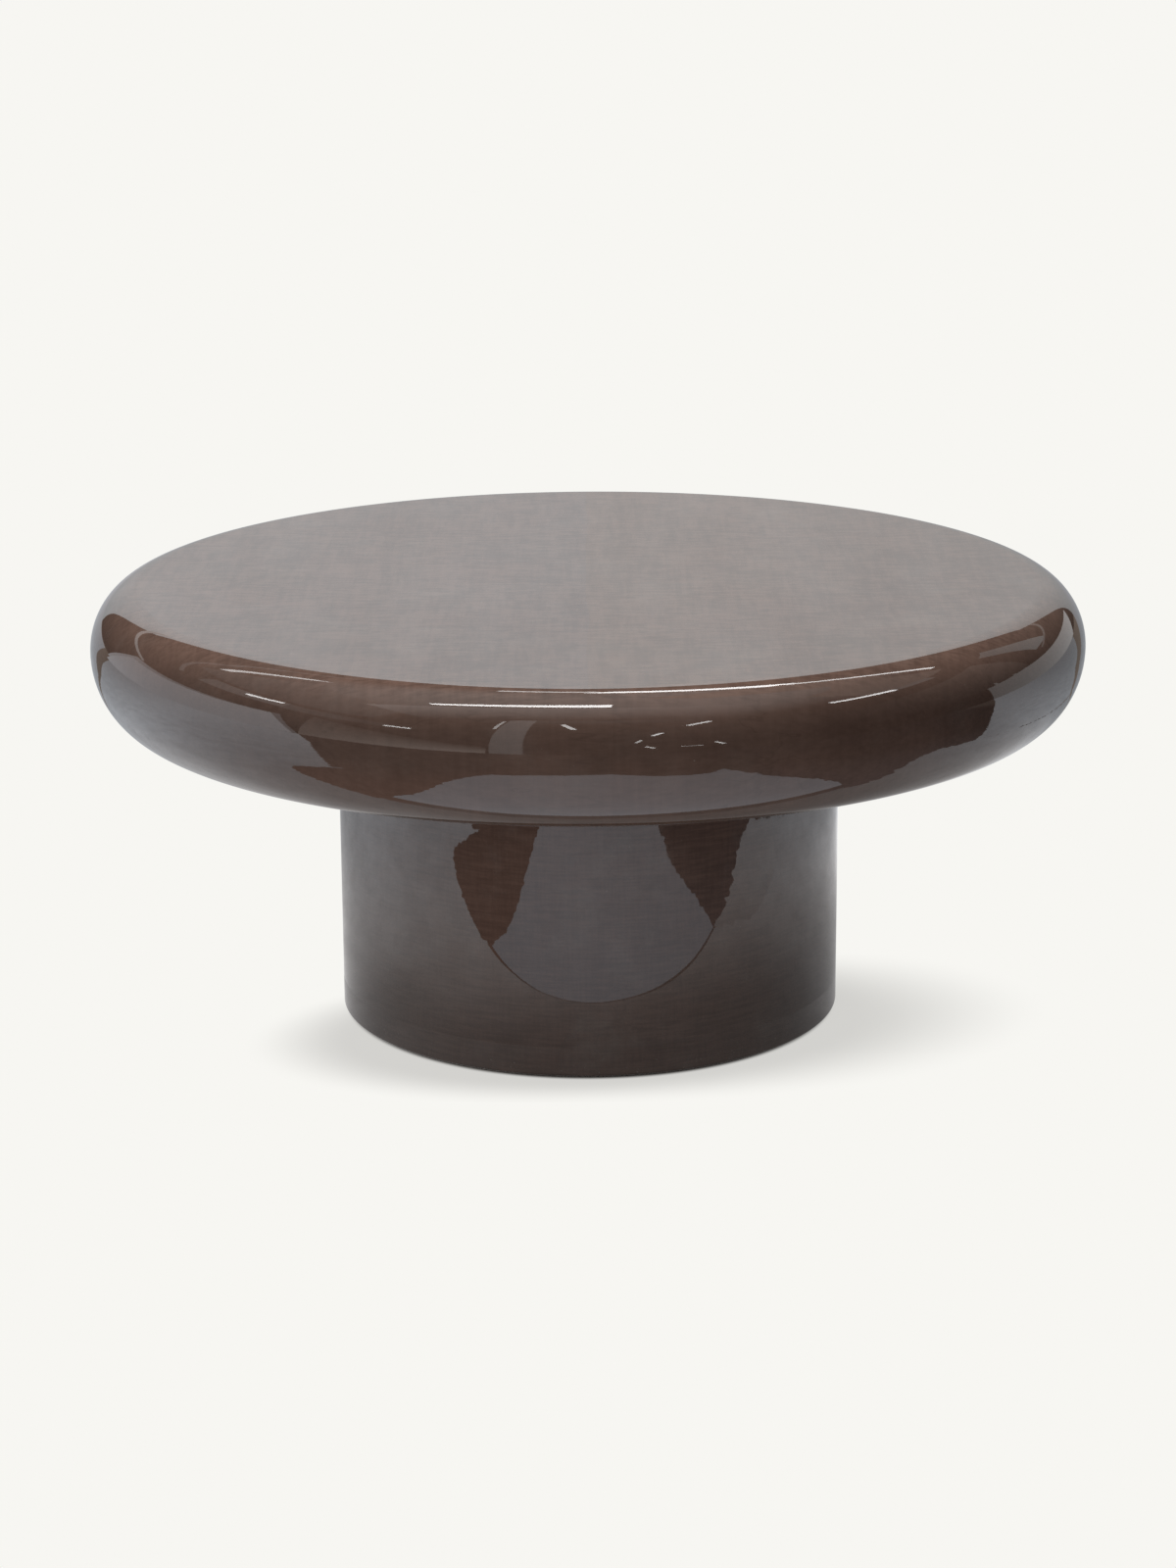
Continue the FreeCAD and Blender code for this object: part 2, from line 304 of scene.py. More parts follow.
class Shader:
    """Builds the node tree of one material or world."""

    def __init__(self, owner):
        owner.use_nodes = True
        self.tree = owner.node_tree
        self.tree.nodes.clear()

    def node(self, kind, settings=None, inputs=None, output=0):
        """Add a node: its settings come first, then the values or links of its sockets."""
        made = self.tree.nodes.new(kind)
        for name, value in (settings or {}).items():
            setattr(made, name, value)
        for key, value in (inputs or {}).items():
            if isinstance(value, Wire):
                self.tree.links.new(value.socket, made.inputs[key])
            else:
                made.inputs[key].default_value = value
        return Wire(self, made.outputs[output]) if made.outputs else None

    def place(self):
        """Position in the frame, in metres."""
        return self.node("ShaderNodeTexCoord", output="Object")

    def parts(self, vector):
        """The three parts of a vector."""
        split = self.node("ShaderNodeSeparateXYZ", None, {0: vector}).socket.node
        return [Wire(self, out) for out in split.outputs]

    def scaled(self, vector, factor):
        """A colour or vector times a number that may be over one."""
        return self.node("ShaderNodeVectorMath", {"operation": "SCALE"}, {0: vector, "Scale": factor})

    def seen_from(self, vector, origin, heading):
        """A place measured from an origin, along axes turned by a heading about Z."""
        moved = self.node("ShaderNodeVectorMath", {"operation": "SUBTRACT"}, {0: vector, 1: origin})
        inputs = {"Vector": moved, "Angle": -heading}
        return self.node("ShaderNodeVectorRotate", {"rotation_type": "Z_AXIS"}, inputs)

    def noise(self, vector, scale, detail=2.0, roughness=0.5):
        """Smooth noise about 0.5. Its scale is one number, or has a number for each axis."""
        if isinstance(scale, tuple):
            vector = self.node("ShaderNodeVectorMath", {"operation": "MULTIPLY"}, {0: vector, 1: scale})
            scale = 1.0
        inputs = {"Vector": vector, "Scale": scale, "Detail": detail, "Roughness": roughness}
        return self.node("ShaderNodeTexNoise", {"normalize": True}, inputs)

    def step(self, value, low, high, start=0.0, end=1.0):
        """A smooth step from start to end as value goes from low to high."""
        inputs = {"Value": value, 1: low, 2: high, 3: start, 4: end}
        return self.node("ShaderNodeMapRange", {"interpolation_type": "SMOOTHSTEP"}, inputs)

    def blend(self, factor, first, second, kind="MIX"):
        """A mix of two colours."""
        settings = {"data_type": "RGBA", "blend_type": kind}
        return self.node("ShaderNodeMix", settings, {0: factor, 6: first, 7: second}, 2)

    def bump(self, height, distance):
        """A normal bent by a height of that size in metres."""
        return self.node("ShaderNodeBump", None, {"Strength": 1.0, "Distance": distance, "Height": height})

    def principled(self, **inputs):
        """A Principled surface on the output. Underscores in names stand for spaces."""
        named = {key.replace("_", " "): value for key, value in inputs.items()}
        self.output(self.node("ShaderNodeBsdfPrincipled", None, named))

    def emission(self, colour):
        """Light of a colour."""
        return self.node("ShaderNodeEmission", None, {"Color": colour, "Strength": 1.0})

    def matt(self, level):
        """A matt grey surface."""
        return self.node("ShaderNodeBsdfDiffuse", None, {"Color": (level, level, level, 1.0)})

    def mixed(self, factor, first, second):
        """A mix of two surfaces."""
        return self.node("ShaderNodeMixShader", None, {0: factor, 1: first, 2: second})

    def output(self, surface):
        """End a material's tree in a surface."""
        self.node("ShaderNodeOutputMaterial", None, {"Surface": surface})

    def rays(self):
        """Whether a ray comes from the camera, and whether a gloss sent it."""
        path = self.node("ShaderNodeLightPath").socket.node.outputs
        return Wire(self, path["Is Camera Ray"]), Wire(self, path["Is Glossy Ray"])


def rgba(colour, level=1.0):
    """A colour times a level, with full alpha."""
    return (*(part * level for part in colour), 1.0)


def from_axis(x, y):
    """Distance of a place from an axis along Z."""
    return (x * x + y * y) ** 0.5


def new_material(name):
    """A material and the shader that fills it."""
    material = bpy.data.materials.new(name)
    return material, Shader(material)


# Finishes of the object

# How strongly the lacquer's threads, clouds and marks show
WEFT_SHARE = 1.3
CLOUD_SHARE = 0.7
BROAD_SHARE = 0.35
CREASE_SHARE = 0.22
STRAY_SPECKS = 0.7
SPECK_SHARE = 0.5
SCUFFED = 0.06
SPECK_ROUGHNESS = 0.3
WARMER = (1.01, 0.996, 0.992, 1.0)
COOLER = (0.99, 1.003, 1.01, 1.0)
# Threads start to fade at the first depth below the flat, and at the second only a share is left
FADE_START = 0.0005
FADE_DEPTH = 0.014
SANDED_SHARE = 0.4
# Wood: heights of the grain in metres, and the growth rings of a post
GRAIN_HEIGHT = 0.00004
STAINED_HEIGHT = 0.00005
RING_CENTRE = (0.034, -0.012)
RING_WIDTH = 0.0042
RING_WANDER = 0.012
RUBBED_EDGE = 0.002
# Other heights and widths in metres
SCRATCH_HEIGHT = 0.000008
PEBBLE_HEIGHT = 0.00002
RUBBED_FOOT = 0.0012
STRAND = 0.0025
STRAND_HEIGHT = 0.00012
# How bright the metals are where they are dulled
DULL_ZINC = 0.8
DULL_BRASS = 0.75


def lacquer(name, look, weft, warp, warp_share, creases, flat_height, scuff_height, haze):
    """Gloss lacquer over cloth: clouds, fine threads, thin creases, specks and smears under a hard gloss.

    The threads show less below the flat height, where the lacquer was sanded round.
    """
    material, shader = new_material(name)
    place = shader.place()
    height = shader.parts(place)[2]
    threads = shader.noise(place, weft, detail=3.0, roughness=0.6)
    crossing = shader.noise(place, warp, detail=3.0, roughness=0.6)
    clouds = shader.noise(place, scale=17.0, detail=6.0, roughness=0.66)
    broad = shader.noise(place, scale=4.0)
    cloth = (threads - 0.5) * WEFT_SHARE + (crossing - 0.5) * warp_share
    cloth = cloth * shader.step(height, flat_height - FADE_DEPTH, flat_height - FADE_START, SANDED_SHARE, 1.0)
    tone = 0.5 + cloth + (clouds - 0.5) * CLOUD_SHARE + (broad - 0.5) * BROAD_SHARE
    colour = shader.blend(shader.step(tone, 0.15, 0.85), rgba(look.dark), rgba(look.light))
    hue = shader.step(shader.noise(place, scale=9.0, detail=3.0), 0.35, 0.65)
    warm = shader.blend(1.0, colour, WARMER, "MULTIPLY")
    cool = shader.blend(1.0, colour, COOLER, "MULTIPLY")
    colour = shader.blend(hue, warm, cool)
    folds = abs(shader.noise(place, creases, detail=3.0, roughness=0.55) - 0.5)
    patches = shader.step(shader.noise(place, scale=15.0), 0.52, 0.62)
    crease = shader.step(folds, 0.004, 0.016, 1.0, 0.0) * patches
    colour = shader.blend(crease * CREASE_SHARE, colour, rgba(look.dark, 0.6))
    smears = shader.step(shader.noise(place, scale=14.0, detail=6.0, roughness=0.68), 0.50, 0.74)
    colour = shader.blend(smears * haze, colour, rgba(look.dust))
    low = shader.step(height, 0.0, scuff_height, 1.0, 0.0)
    fine = shader.noise(place, scale=300.0, detail=1.0)
    specks = shader.step(fine, 0.80, 0.84) * STRAY_SPECKS + shader.step(fine, 0.70, 0.76) * low
    colour = shader.blend(specks * SPECK_SHARE, colour, rgba(look.dust))
    roughness = look.roughness + smears * look.smudge + low * SCUFFED + specks * SPECK_ROUGHNESS
    ripples = shader.noise(place, scale=105.0, detail=1.5)
    shader.principled(
        Base_Color=colour, Roughness=roughness, IOR=1.5, Normal=shader.bump(ripples, look.peel))
    return material


def plywood(name, look, heading, stack):
    """Birch plywood whose plies lie along one part, numbered from 0, of the place turned by a heading."""
    material, shader = new_material(name)
    place = shader.seen_from(shader.place(), (0.0, 0.0, 0.0), heading)
    level = shader.parts(place)[stack]
    pair = (level / (2 * look.ply)).fract()
    crossed = shader.step(pair, 0.46, 0.54)
    glue = shader.step(abs(pair - 0.5), 0.0, 0.07, 1.0, 0.0)
    grain = shader.noise(place, (11.0, 190.0, 190.0), detail=4.0, roughness=0.6)
    figure = shader.noise(place, (1.6, 15.0, 15.0), detail=3.0)
    tone = shader.step(grain * 0.6 + figure * 0.4, 0.32, 0.68)
    colour = shader.blend(tone, rgba(look.birch_grain), rgba(look.birch))
    colour = shader.blend(crossed * 0.5, colour, rgba(look.birch_grain, 0.8))
    colour = shader.blend(glue * 0.5, colour, rgba(look.birch_grain, 0.35))
    shader.principled(
        Base_Color=colour, Roughness=0.5 + grain * 0.3, IOR=1.5,
        Normal=shader.bump(grain - crossed, GRAIN_HEIGHT))
    return material


def softwood(name, look, origin, heading):
    """Planed softwood with upright growth rings round a line outside the post."""
    material, shader = new_material(name)
    place = shader.seen_from(shader.place(), origin, heading)
    x, y, _ = shader.parts(place)
    wander = shader.noise(place, (6.0, 6.0, 1.5), detail=3.0) * RING_WANDER
    across = x - RING_CENTRE[0]
    along = y - RING_CENTRE[1]
    ring = (from_axis(across, along) + wander) / RING_WIDTH
    late = shader.step(ring.fract(), 0.45, 0.9) * shader.step(ring.fract(), 0.93, 1.0, 1.0, 0.0)
    fibres = shader.noise(place, (420.0, 420.0, 14.0), detail=3.0)
    colour = shader.blend(late * 0.8, rgba(look.softwood), rgba(look.softwood_rings))
    colour = shader.blend(shader.step(fibres, 0.4, 0.75) * 0.35, colour, rgba(look.softwood_rings))
    shader.principled(
        Base_Color=colour, Roughness=0.55 + fibres * 0.25, IOR=1.5,
        Normal=shader.bump(late + fibres, GRAIN_HEIGHT))
    return material


def stained_board(name, look, edge):
    """Thin board stained dark, rubbed paler along its edge."""
    material, shader = new_material(name)
    place = shader.place()
    x, y, _ = shader.parts(place)
    grain = shader.noise(place, (9.0, 230.0, 230.0), detail=5.0, roughness=0.6)
    figure = shader.noise(place, (2.0, 17.0, 17.0), detail=3.0)
    tone = shader.step(grain * 0.65 + figure * 0.35, 0.3, 0.7)
    colour = shader.blend(tone, rgba(look.stain, 0.6), rgba(look.stain, 1.5))
    rim = shader.step(from_axis(x, y), edge - RUBBED_EDGE, edge)
    rubbed = rim * shader.step(shader.noise(place, scale=70.0, detail=4.0), 0.42, 0.66)
    colour = shader.blend(rubbed * 0.7, colour, rgba(look.birch_grain, 0.8))
    shader.principled(
        Base_Color=colour, Roughness=0.42 + grain * 0.2, IOR=1.5, Normal=shader.bump(grain, STAINED_HEIGHT))
    return material


def metal(name, colour, dull, roughness):
    """Metal with a skin that is dulled in patches and finely scratched."""
    material, shader = new_material(name)
    place = shader.place()
    patches = shader.noise(place, scale=170.0, detail=4.0, roughness=0.6)
    scratches = shader.noise(place, (400.0, 2600.0, 2600.0))
    worn = shader.step(patches, 0.38, 0.68)
    tint = shader.blend(worn, rgba(colour), rgba(dull))
    shader.principled(
        Base_Color=tint, Metallic=1.0, Roughness=roughness + worn * 0.18,
        Normal=shader.bump(scratches, SCRATCH_HEIGHT))
    return material


def nylon(name, look):
    """Moulded nylon with a fine spark-eroded grain, rubbed grey where it meets the floor."""
    material, shader = new_material(name)
    place = shader.place()
    pebbles = shader.noise(place, scale=1400.0)
    flow = shader.noise(place, scale=90.0, detail=3.0)
    height = shader.parts(place)[2]
    rubbed = shader.step(height, 0.0, RUBBED_FOOT, 1.0, 0.0) * shader.step(flow, 0.4, 0.65)
    colour = shader.blend(shader.step(flow, 0.35, 0.65), rgba(look.nylon, 0.8), rgba(look.nylon, 1.25))
    colour = shader.blend(rubbed * 0.6, colour, rgba(look.rubbed_nylon))
    shader.principled(
        Base_Color=colour, Roughness=0.42 + pebbles * 0.25, IOR=1.53,
        Normal=shader.bump(pebbles, PEBBLE_HEIGHT))
    return material


def glass_fibre(name, look, radius):
    """Resin strip with its woven glass showing through."""
    material, shader = new_material(name)
    place = shader.place()
    x, y, z = shader.parts(place)
    warp = (x.math("ARCTAN2", y, x) * round(2 * math.pi * radius / STRAND)).sine()
    weft = (z * (2 * math.pi / STRAND)).sine()
    weave = 0.5 + warp * weft * 0.5
    runs = shader.noise(place, scale=24.0, detail=4.0)
    colour = shader.blend(weave, rgba(look.resin, 0.72), rgba(look.resin, 1.25))
    colour = shader.blend(shader.step(runs, 0.45, 0.7) * 0.5, colour, rgba(look.resin, 0.6))
    shader.principled(
        Base_Color=colour, Roughness=0.3 + runs * 0.35, IOR=1.5, Normal=shader.bump(weave, STRAND_HEIGHT))
    return material


# Meshes turned about an axis

# Hollows left by hand sanding, by wavelength, direction and phase
WAVES = (
    (0.230, (1.0, 0.25, 0.5), 0.10),
    (0.170, (-0.4, 1.0, 0.8), 0.43),
    (0.130, (0.7, -0.9, 1.0), 0.71),
    (0.095, (0.9, 0.8, -1.1), 0.27),
    (0.072, (-1.0, 0.3, 1.4), 0.88),
)
AXIS_RADIUS = 1e-9
RIM_ROWS = 44
FLAT_ROWS = 26
HOLLOW_RIM_ROWS = 16
HOLLOW_FLAT_ROWS = 8
WALL_ROWS = 40
WALL_CROWDING = 1.6
EDGE_ROWS = 8
PAD_EDGE_ROWS = 6


def hand_sand(mesh, depth):
    """Draw a surface in by the shallow hollows that hand sanding leaves."""
    points = np.array([vertex.co for vertex in mesh.vertices])
    normals = np.array([vertex.normal for vertex in mesh.vertices])
    total = np.zeros(len(points))
    for wavelength, direction, phase in WAVES:
        heading = np.array(direction) / np.linalg.norm(direction)
        total += np.sin(2 * math.pi * (points @ heading / wavelength + phase))
    hollows = 0.5 + total / (2 * len(WAVES))
    points -= normals * (depth * hollows)[:, None]
    mesh.vertices.foreach_set("co", points.ravel())
    mesh.update()


def new_mesh(name, points, faces):
    """A mesh of points and faces."""
    mesh = bpy.data.meshes.new(name)
    mesh.from_pydata(points, [], faces)
    return mesh


def turned_mesh(name, outlines, segments, places=(Matrix(),)):
    """A mesh from outlines of (radius, height) rows turned about Z and copied to every place.

    A radius or a height is one number, or has a number for each segment. An outline is a pair: its rows,
    running anticlockwise seen with the axis on the left, and whether it closes.
    """
    angles = np.arange(segments) * (2 * math.pi / segments)
    ring = np.stack([np.cos(angles), np.sin(angles)], axis=1)
    points = []
    faces = []
    for rows, closes in outlines:
        starts = []
        for radius, height in rows:
            on_axis = np.max(radius) < AXIS_RADIUS
            count = 1 if on_axis else segments
            radii = np.broadcast_to(radius, segments)[:count, None]
            heights = np.broadcast_to(height, segments)[:count, None]
            starts.append((len(points), count))
            points.extend(np.hstack([ring[:count] * radii, heights]).tolist())
        pairs = list(zip(starts, starts[1:]))
        if closes:
            pairs.append((starts[-1], starts[0]))
        for (low, low_count), (high, high_count) in pairs:
            for k in range(segments):
                after = (k + 1) % segments
                corners = [low + k % low_count, low + after % low_count]
                corners += [high + after % high_count, high + k % high_count]
                faces.append(list(dict.fromkeys(corners)))
    vertices = [place @ Vector(point) for place in places for point in points]
    copies = [[corner + len(points) * k for corner in face] for k in range(len(places)) for face in faces]
    mesh = new_mesh(name, vertices, copies)
    mesh.update()
    mesh.shade_smooth()
    return mesh


def quarter_ellipse(centre_radius, centre_height, run, rise, rows):
    """Rows from the widest point of a quarter ellipse to its end over or under the centre."""
    angles = np.linspace(0.0, math.pi / 2, rows)
    return [(centre_radius + run * math.cos(a), centre_height + rise * math.sin(a)) for a in angles]


def face_rows(radius, height, rows):
    """Rows of a flat face from near its edge to the axis, close together at the edge."""
    shares = [(k / rows) ** 2 for k in range(1, rows + 1)]
    return [(radius * (1 - share), height) for share in shares]


def disc_rows(sizes, inset, rim_rows, flat_rows):
    """Outline of the top from the axis below to the axis above, set in by a wall thickness."""
    radius = sizes.radius - inset
    upper_run = radius - sizes.flat_radius
    lower_run = radius - sizes.underside_radius
    top = sizes.height - inset
    bottom = sizes.underside_height + inset
    widest = sizes.widest_height
    below = face_rows(sizes.underside_radius, bottom, flat_rows)[::-1]
    lower_rim = quarter_ellipse(sizes.underside_radius, widest, lower_run, bottom - widest, rim_rows)[::-1]
    upper_rim = quarter_ellipse(sizes.flat_radius, widest, upper_run, top - widest, rim_rows)
    above = face_rows(sizes.flat_radius, top, flat_rows)
    return below + lower_rim + upper_rim[1:] + above


def wall_rows(sizes):
    """Outline of the drum's wall: a closed loop round the foot, up the outside and down the inside."""
    edge = sizes.edge_radius
    start = sizes.foot + edge
    inner_foot = quarter_ellipse(sizes.inner_radius + edge, start, -edge, -edge, EDGE_ROWS)
    outer_foot = quarter_ellipse(sizes.radius - edge, start, edge, -edge, EDGE_ROWS)[::-1]
    shares = [(k / WALL_ROWS) ** WALL_CROWDING for k in range(1, WALL_ROWS + 1)]
    rise = [start + (sizes.head - start) * share for share in shares]
    outside = [(sizes.radius, height) for height in rise]
    inside = [(sizes.inner_radius, height) for height in reversed(rise)]
    return inner_foot + outer_foot + outside + inside


# Fittings. Depths and widths are shares of the pitch, the width across flats or the thread's radius.
FITTING_SEGMENTS = 24
FITTING_ANGLES = np.arange(FITTING_SEGMENTS) * (2 * math.pi / FITTING_SEGMENTS)
ROWS_PER_TURN = 6
PAD_SEGMENTS = 72
SHARP = math.radians(35)
THREAD_DEPTH = 0.6
FLANK_SLOPE = 2.5
FLANK_FOOT = 0.75
TURNED_OFF = 0.485
END_CHAMFER = 0.25
END_RADIUS = 0.7
NECK_TURNS = 2
SCREW_HEAD = 2.0
SCREW_PITCH = 0.9
SCREW_NECK = 1.3
SCREW_POINT = 0.1
HEAD_CHAMFER = 0.03
RECESS_RADIUS = 1.1
RECESS_DEPTH = 0.9
RECESS_FLOOR = 0.1
RECESS_RINGS = (0.3, 0.55, 0.8, 0.95)
ARM_WIDTH = 0.24


def thread_rows(radius, pitch, low, high, tip=None):
    """Rows of a right-hand thread from low to high. A tip draws it in to a point at that height."""
    around = np.arange(FITTING_SEGMENTS) / FITTING_SEGMENTS
    count = math.ceil((high - low) / pitch * ROWS_PER_TURN)
    rows = []
    for height in np.linspace(low, high, count + 1):
        phase = (height / pitch - around) % 1.0
        crest = np.clip(FLANK_SLOPE * np.abs(2 * phase - 1) - FLANK_FOOT, 0.0, 1.0)
        share = 1.0 if tip is None else min(1.0, (tip - height) / (2 * radius))
        rows.append((share * (radius - THREAD_DEPTH * pitch * (1 - crest)), height))
    return rows


def threaded_end(sizes, low, length):
    """Rows of a bolt's or a stud's thread from low to its chamfered end."""
    radius = sizes.thread_radius
    rows = thread_rows(radius, sizes.pitch, low, length - END_CHAMFER * radius)
    return rows + [(END_RADIUS * radius, length), (0.0, length)]


def hexagon_rows(flats, low, high):
    """Rows of a hexagon whose corners are turned off at both ends."""
    sixth = math.pi / 3
    full = flats / 2 / np.cos(FITTING_ANGLES % sixth - sixth / 2)
    turned_off = np.minimum(full, TURNED_OFF * flats)
    drop = (full.max() - turned_off.min()) / 2
    return [(turned_off, low), (full, low + drop), (full, high - drop), (turned_off, high)]


def bolt_rows(sizes, length):
    """Outline of a hex bolt that points up, from its head's face."""
    radius = sizes.thread_radius
    neck = sizes.head_height + NECK_TURNS * sizes.pitch
    rows = [(0.0, 0.0)] + hexagon_rows(sizes.hex_flats, 0.0, sizes.head_height)
    rows += [(radius, sizes.head_height), (radius, neck)]
    return rows + threaded_end(sizes, neck, length)


def stud_rows(sizes, spigot, length):
    """Outline of a stud from the end of its spigot: spigot, hex collar and thread."""
    radius = sizes.spigot_radius
    edge = radius / 10
    top = spigot + sizes.collar_height
    rows = [(0.0, 0.0), (radius - edge, 0.0), (radius, edge), (radius, spigot)]
    rows += hexagon_rows(sizes.hex_flats, spigot, top)
    return rows + threaded_end(sizes, top, length)


def screw_rows(radius, length):
    """Outline of a countersunk wood screw that points up, from the cross recess in its head's face."""
    quarter = math.pi / 2
    off_arm = np.abs((FITTING_ANGLES + quarter / 2) % quarter - quarter / 2)
    head = SCREW_HEAD * radius
    recess = RECESS_RADIUS * radius
    rows = [(0.0, RECESS_DEPTH * radius)]
    for share in RECESS_RINGS:
        in_arm = np.sin(off_arm) * share < ARM_WIDTH
        depth = (1 - share) * RECESS_DEPTH * radius + RECESS_FLOOR * radius
        rows.append((share * recess, np.where(in_arm, depth, 0.0)))
    chamfer = HEAD_CHAMFER * head
    rows += [(recess, 0.0), (head - chamfer, 0.0), (head, chamfer), (radius, radius)]
    neck = SCREW_NECK * radius
    rows += thread_rows(radius, SCREW_PITCH * radius, neck, length - SCREW_POINT * radius, length)
    return rows + [(0.0, length)]


def pad_rows(sizes, radius, height):
    """Outline of a moulded pad: round edges, a moulded ring round the top and a bore for the spigot."""
    edge = sizes.pad_edge
    waist = radius - edge / 6
    ring = 0.6 * radius
    inner_ring = 0.8 * ring
    groove = edge / 2
    bore_radius = sizes.spigot_radius + edge / 20
    rows = [(0.0, 0.0)] + quarter_ellipse(radius - edge, edge, edge, -edge, PAD_EDGE_ROWS)[::-1]
    rows += [(waist, height / 2)]
    rows += quarter_ellipse(radius - edge, height - edge, edge, edge, PAD_EDGE_ROWS)
    rows += [(ring + groove, height), (ring, height - groove), (inner_ring, height - groove)]
    rows += [(inner_ring - groove, height), (bore_radius, height)]
    return rows + [(bore_radius, sizes.pad_floor), (0.0, sizes.pad_floor)]


def standing(low, high):
    """Place of a fitting on the lower end of its box, turned with the box's angle about Z."""
    centre = middle(low, high)
    turn = Matrix.Rotation(bearing(centre), 4, "Z")
    return Matrix.Translation((centre.x, centre.y, low.z)) @ turn


def hanging(low, high):
    """Place of a fitting that is turned over under the upper end of its box."""
    centre = middle(low, high)
    return Matrix.Translation((centre.x, centre.y, high.z)) @ Matrix.Rotation(math.pi, 4, "X")


def fitting_mesh(name, rows, places, segments=FITTING_SEGMENTS):
    """A turned fitting with crisp edges, copied to every place."""
    mesh = turned_mesh(name, [(rows, False)], segments, places)
    mesh.set_sharp_from_angle(angle=SHARP)
    return mesh


def new_object(name, data):
    """An object in the scene."""
    piece = bpy.data.objects.new(name, data)
    bpy.context.scene.collection.objects.link(piece)
    return piece


def show(mesh, material):
    """A new object of a mesh with one material."""
    piece = new_object(mesh.name, mesh)
    mesh.materials.append(material)
    return piece


def fit(mesh, material, body, slot, *nodes):
    """A piece that rides on a body, takes a material and stands for frame nodes. The slot is not used."""
    piece = show(mesh, material)
    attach(piece, body)
    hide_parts(*nodes)


def finish_nodes(names, material):
    """Give frame nodes a material."""
    for name in names:
        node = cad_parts[name]
        if not node.material_slots:
            node.data.materials.append(material)
        for slot in node.material_slots:
            slot.material = material


# Operators for the pieces


class TABLE_OT_lacquered_top(bpy.types.Operator):
    """Turn the seamless lacquered disc that stands for both shells of the top"""

    bl_idname = "table.lacquered_top"
    bl_label = "Lacquered top"

    def execute(self, context):
        sizes = context.scene.table_top
        look = context.scene.table_lacquer
        skin = disc_rows(sizes, 0.0, RIM_ROWS, FLAT_ROWS)
        hollow = disc_rows(sizes, sizes.wall, HOLLOW_RIM_ROWS, HOLLOW_FLAT_ROWS)[::-1]
        mesh = turned_mesh("lacquered_top", [(skin, False), (hollow, False)], sizes.segments)
        hand_sand(mesh, look.waviness)
        material = lacquer(
            "lacquer_on_top", look, weft=(48.0, 230.0, 230.0), warp=(170.0, 16.0, 16.0), warp_share=0.9,
            creases=(7.0, 42.0, 42.0), flat_height=sizes.height, scuff_height=0.001, haze=0.06)
        fit(mesh, material, TABLE_BODY, "lacquer", "top_upper_shell", "top_lower_shell")
        return {"FINISHED"}


class TABLE_OT_lacquered_drum(bpy.types.Operator):
    """Turn the lacquered wall of the drum"""

    bl_idname = "table.lacquered_drum"
    bl_label = "Lacquered drum"

    def execute(self, context):
        sizes = context.scene.table_drum
        look = context.scene.table_lacquer
        mesh = turned_mesh("lacquered_drum", [(wall_rows(sizes), True)], sizes.segments)
        hand_sand(mesh, look.waviness)
        material = lacquer(
            "lacquer_on_drum", look, weft=(30.0, 30.0, 330.0), warp=(380.0, 380.0, 34.0), warp_share=0.6,
            creases=(16.0, 16.0, 30.0), flat_height=sizes.foot, scuff_height=0.03, haze=0.16)
        fit(mesh, material, TABLE_BODY, "lacquer", "drum_shell")
        return {"FINISHED"}


class TABLE_OT_boards(bpy.types.Operator):
    """Finish the plywood boards, the softwood posts and the stained cover"""

    bl_idname = "table.boards"
    bl_label = "Boards and posts"

    def execute(self, context):
        look = context.scene.table_boards
        flat = ["top_deck", "top_hub", "core_ring", "drum_top_plate", "drum_mid_former", "drum_bottom_plate"]
        finish_nodes(flat, plywood("plywood_flat", look, heading=0.0, stack=2))
        for name in nodes_like("top_rib_"):
            place = middle(*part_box(name))
            finish_nodes([name], plywood(f"plywood_{name}", look, bearing(place), stack=1))
        for name in nodes_like("drum_post_"):
            place = middle(*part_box(name))
            finish_nodes([name], softwood(f"softwood_{name}", look, place, bearing(place)))
        finish_nodes(["access_cover"], stained_board("stained_board", look, COVER_HIGH.x))
        return {"FINISHED"}


class TABLE_OT_bonding_strip(bpy.types.Operator):
    """Finish the glass-fibre strip behind the seam of the top"""

    bl_idname = "table.bonding_strip"
    bl_label = "Bonding strip"

    def execute(self, context):
        strip = glass_fibre("glass_fibre", context.scene.table_boards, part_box("seam_band")[1].x)
        finish_nodes(["seam_band"], strip)
        return {"FINISHED"}


class TABLE_OT_fasteners(bpy.types.Operator):
    """Thread the bolts and screws and finish the washers, inserts and tee nuts"""

    bl_idname = "table.fasteners"
    bl_label = "Fasteners"

    def execute(self, context):
        look = context.scene.table_fittings
        sizes = context.scene.table_sizes
        zinc = metal("bright_zinc", look.zinc, Vector(look.zinc) * DULL_ZINC, roughness=0.26)
        finish_nodes(["joint_washers", "leveller_tee_nuts"], zinc)
        brass = metal("turned_brass", look.brass, Vector(look.brass) * DULL_BRASS, roughness=0.22)
        finish_nodes(["hub_inserts"], brass)
        boxes = loose_boxes("joint_bolts")
        length = boxes[0][1].z - boxes[0][0].z
        mesh = fitting_mesh("hex_bolts", bolt_rows(sizes, length), [standing(*box) for box in boxes])
        fit(mesh, zinc, TABLE_BODY, "zinc_steel", "joint_bolts")
        yellow = metal("yellow_zinc", look.yellow_zinc, look.dull_yellow, roughness=0.3)
        half_height = (DRUM_LOW.z + DRUM_HIGH.z) / 2
        for name, node in (("long_wood_screws", "post_screws"), ("short_wood_screws", "cover_screws")):
            boxes = loose_boxes(node)
            low, high = boxes[0]
            places = [standing(*box) if box[0].z < half_height else hanging(*box) for box in boxes]
            radius = (high.x - low.x) / (2 * SCREW_HEAD)
            mesh = fitting_mesh(name, screw_rows(radius, high.z - low.z), places)
            fit(mesh, yellow, TABLE_BODY, "screw_steel", node)
        return {"FINISHED"}


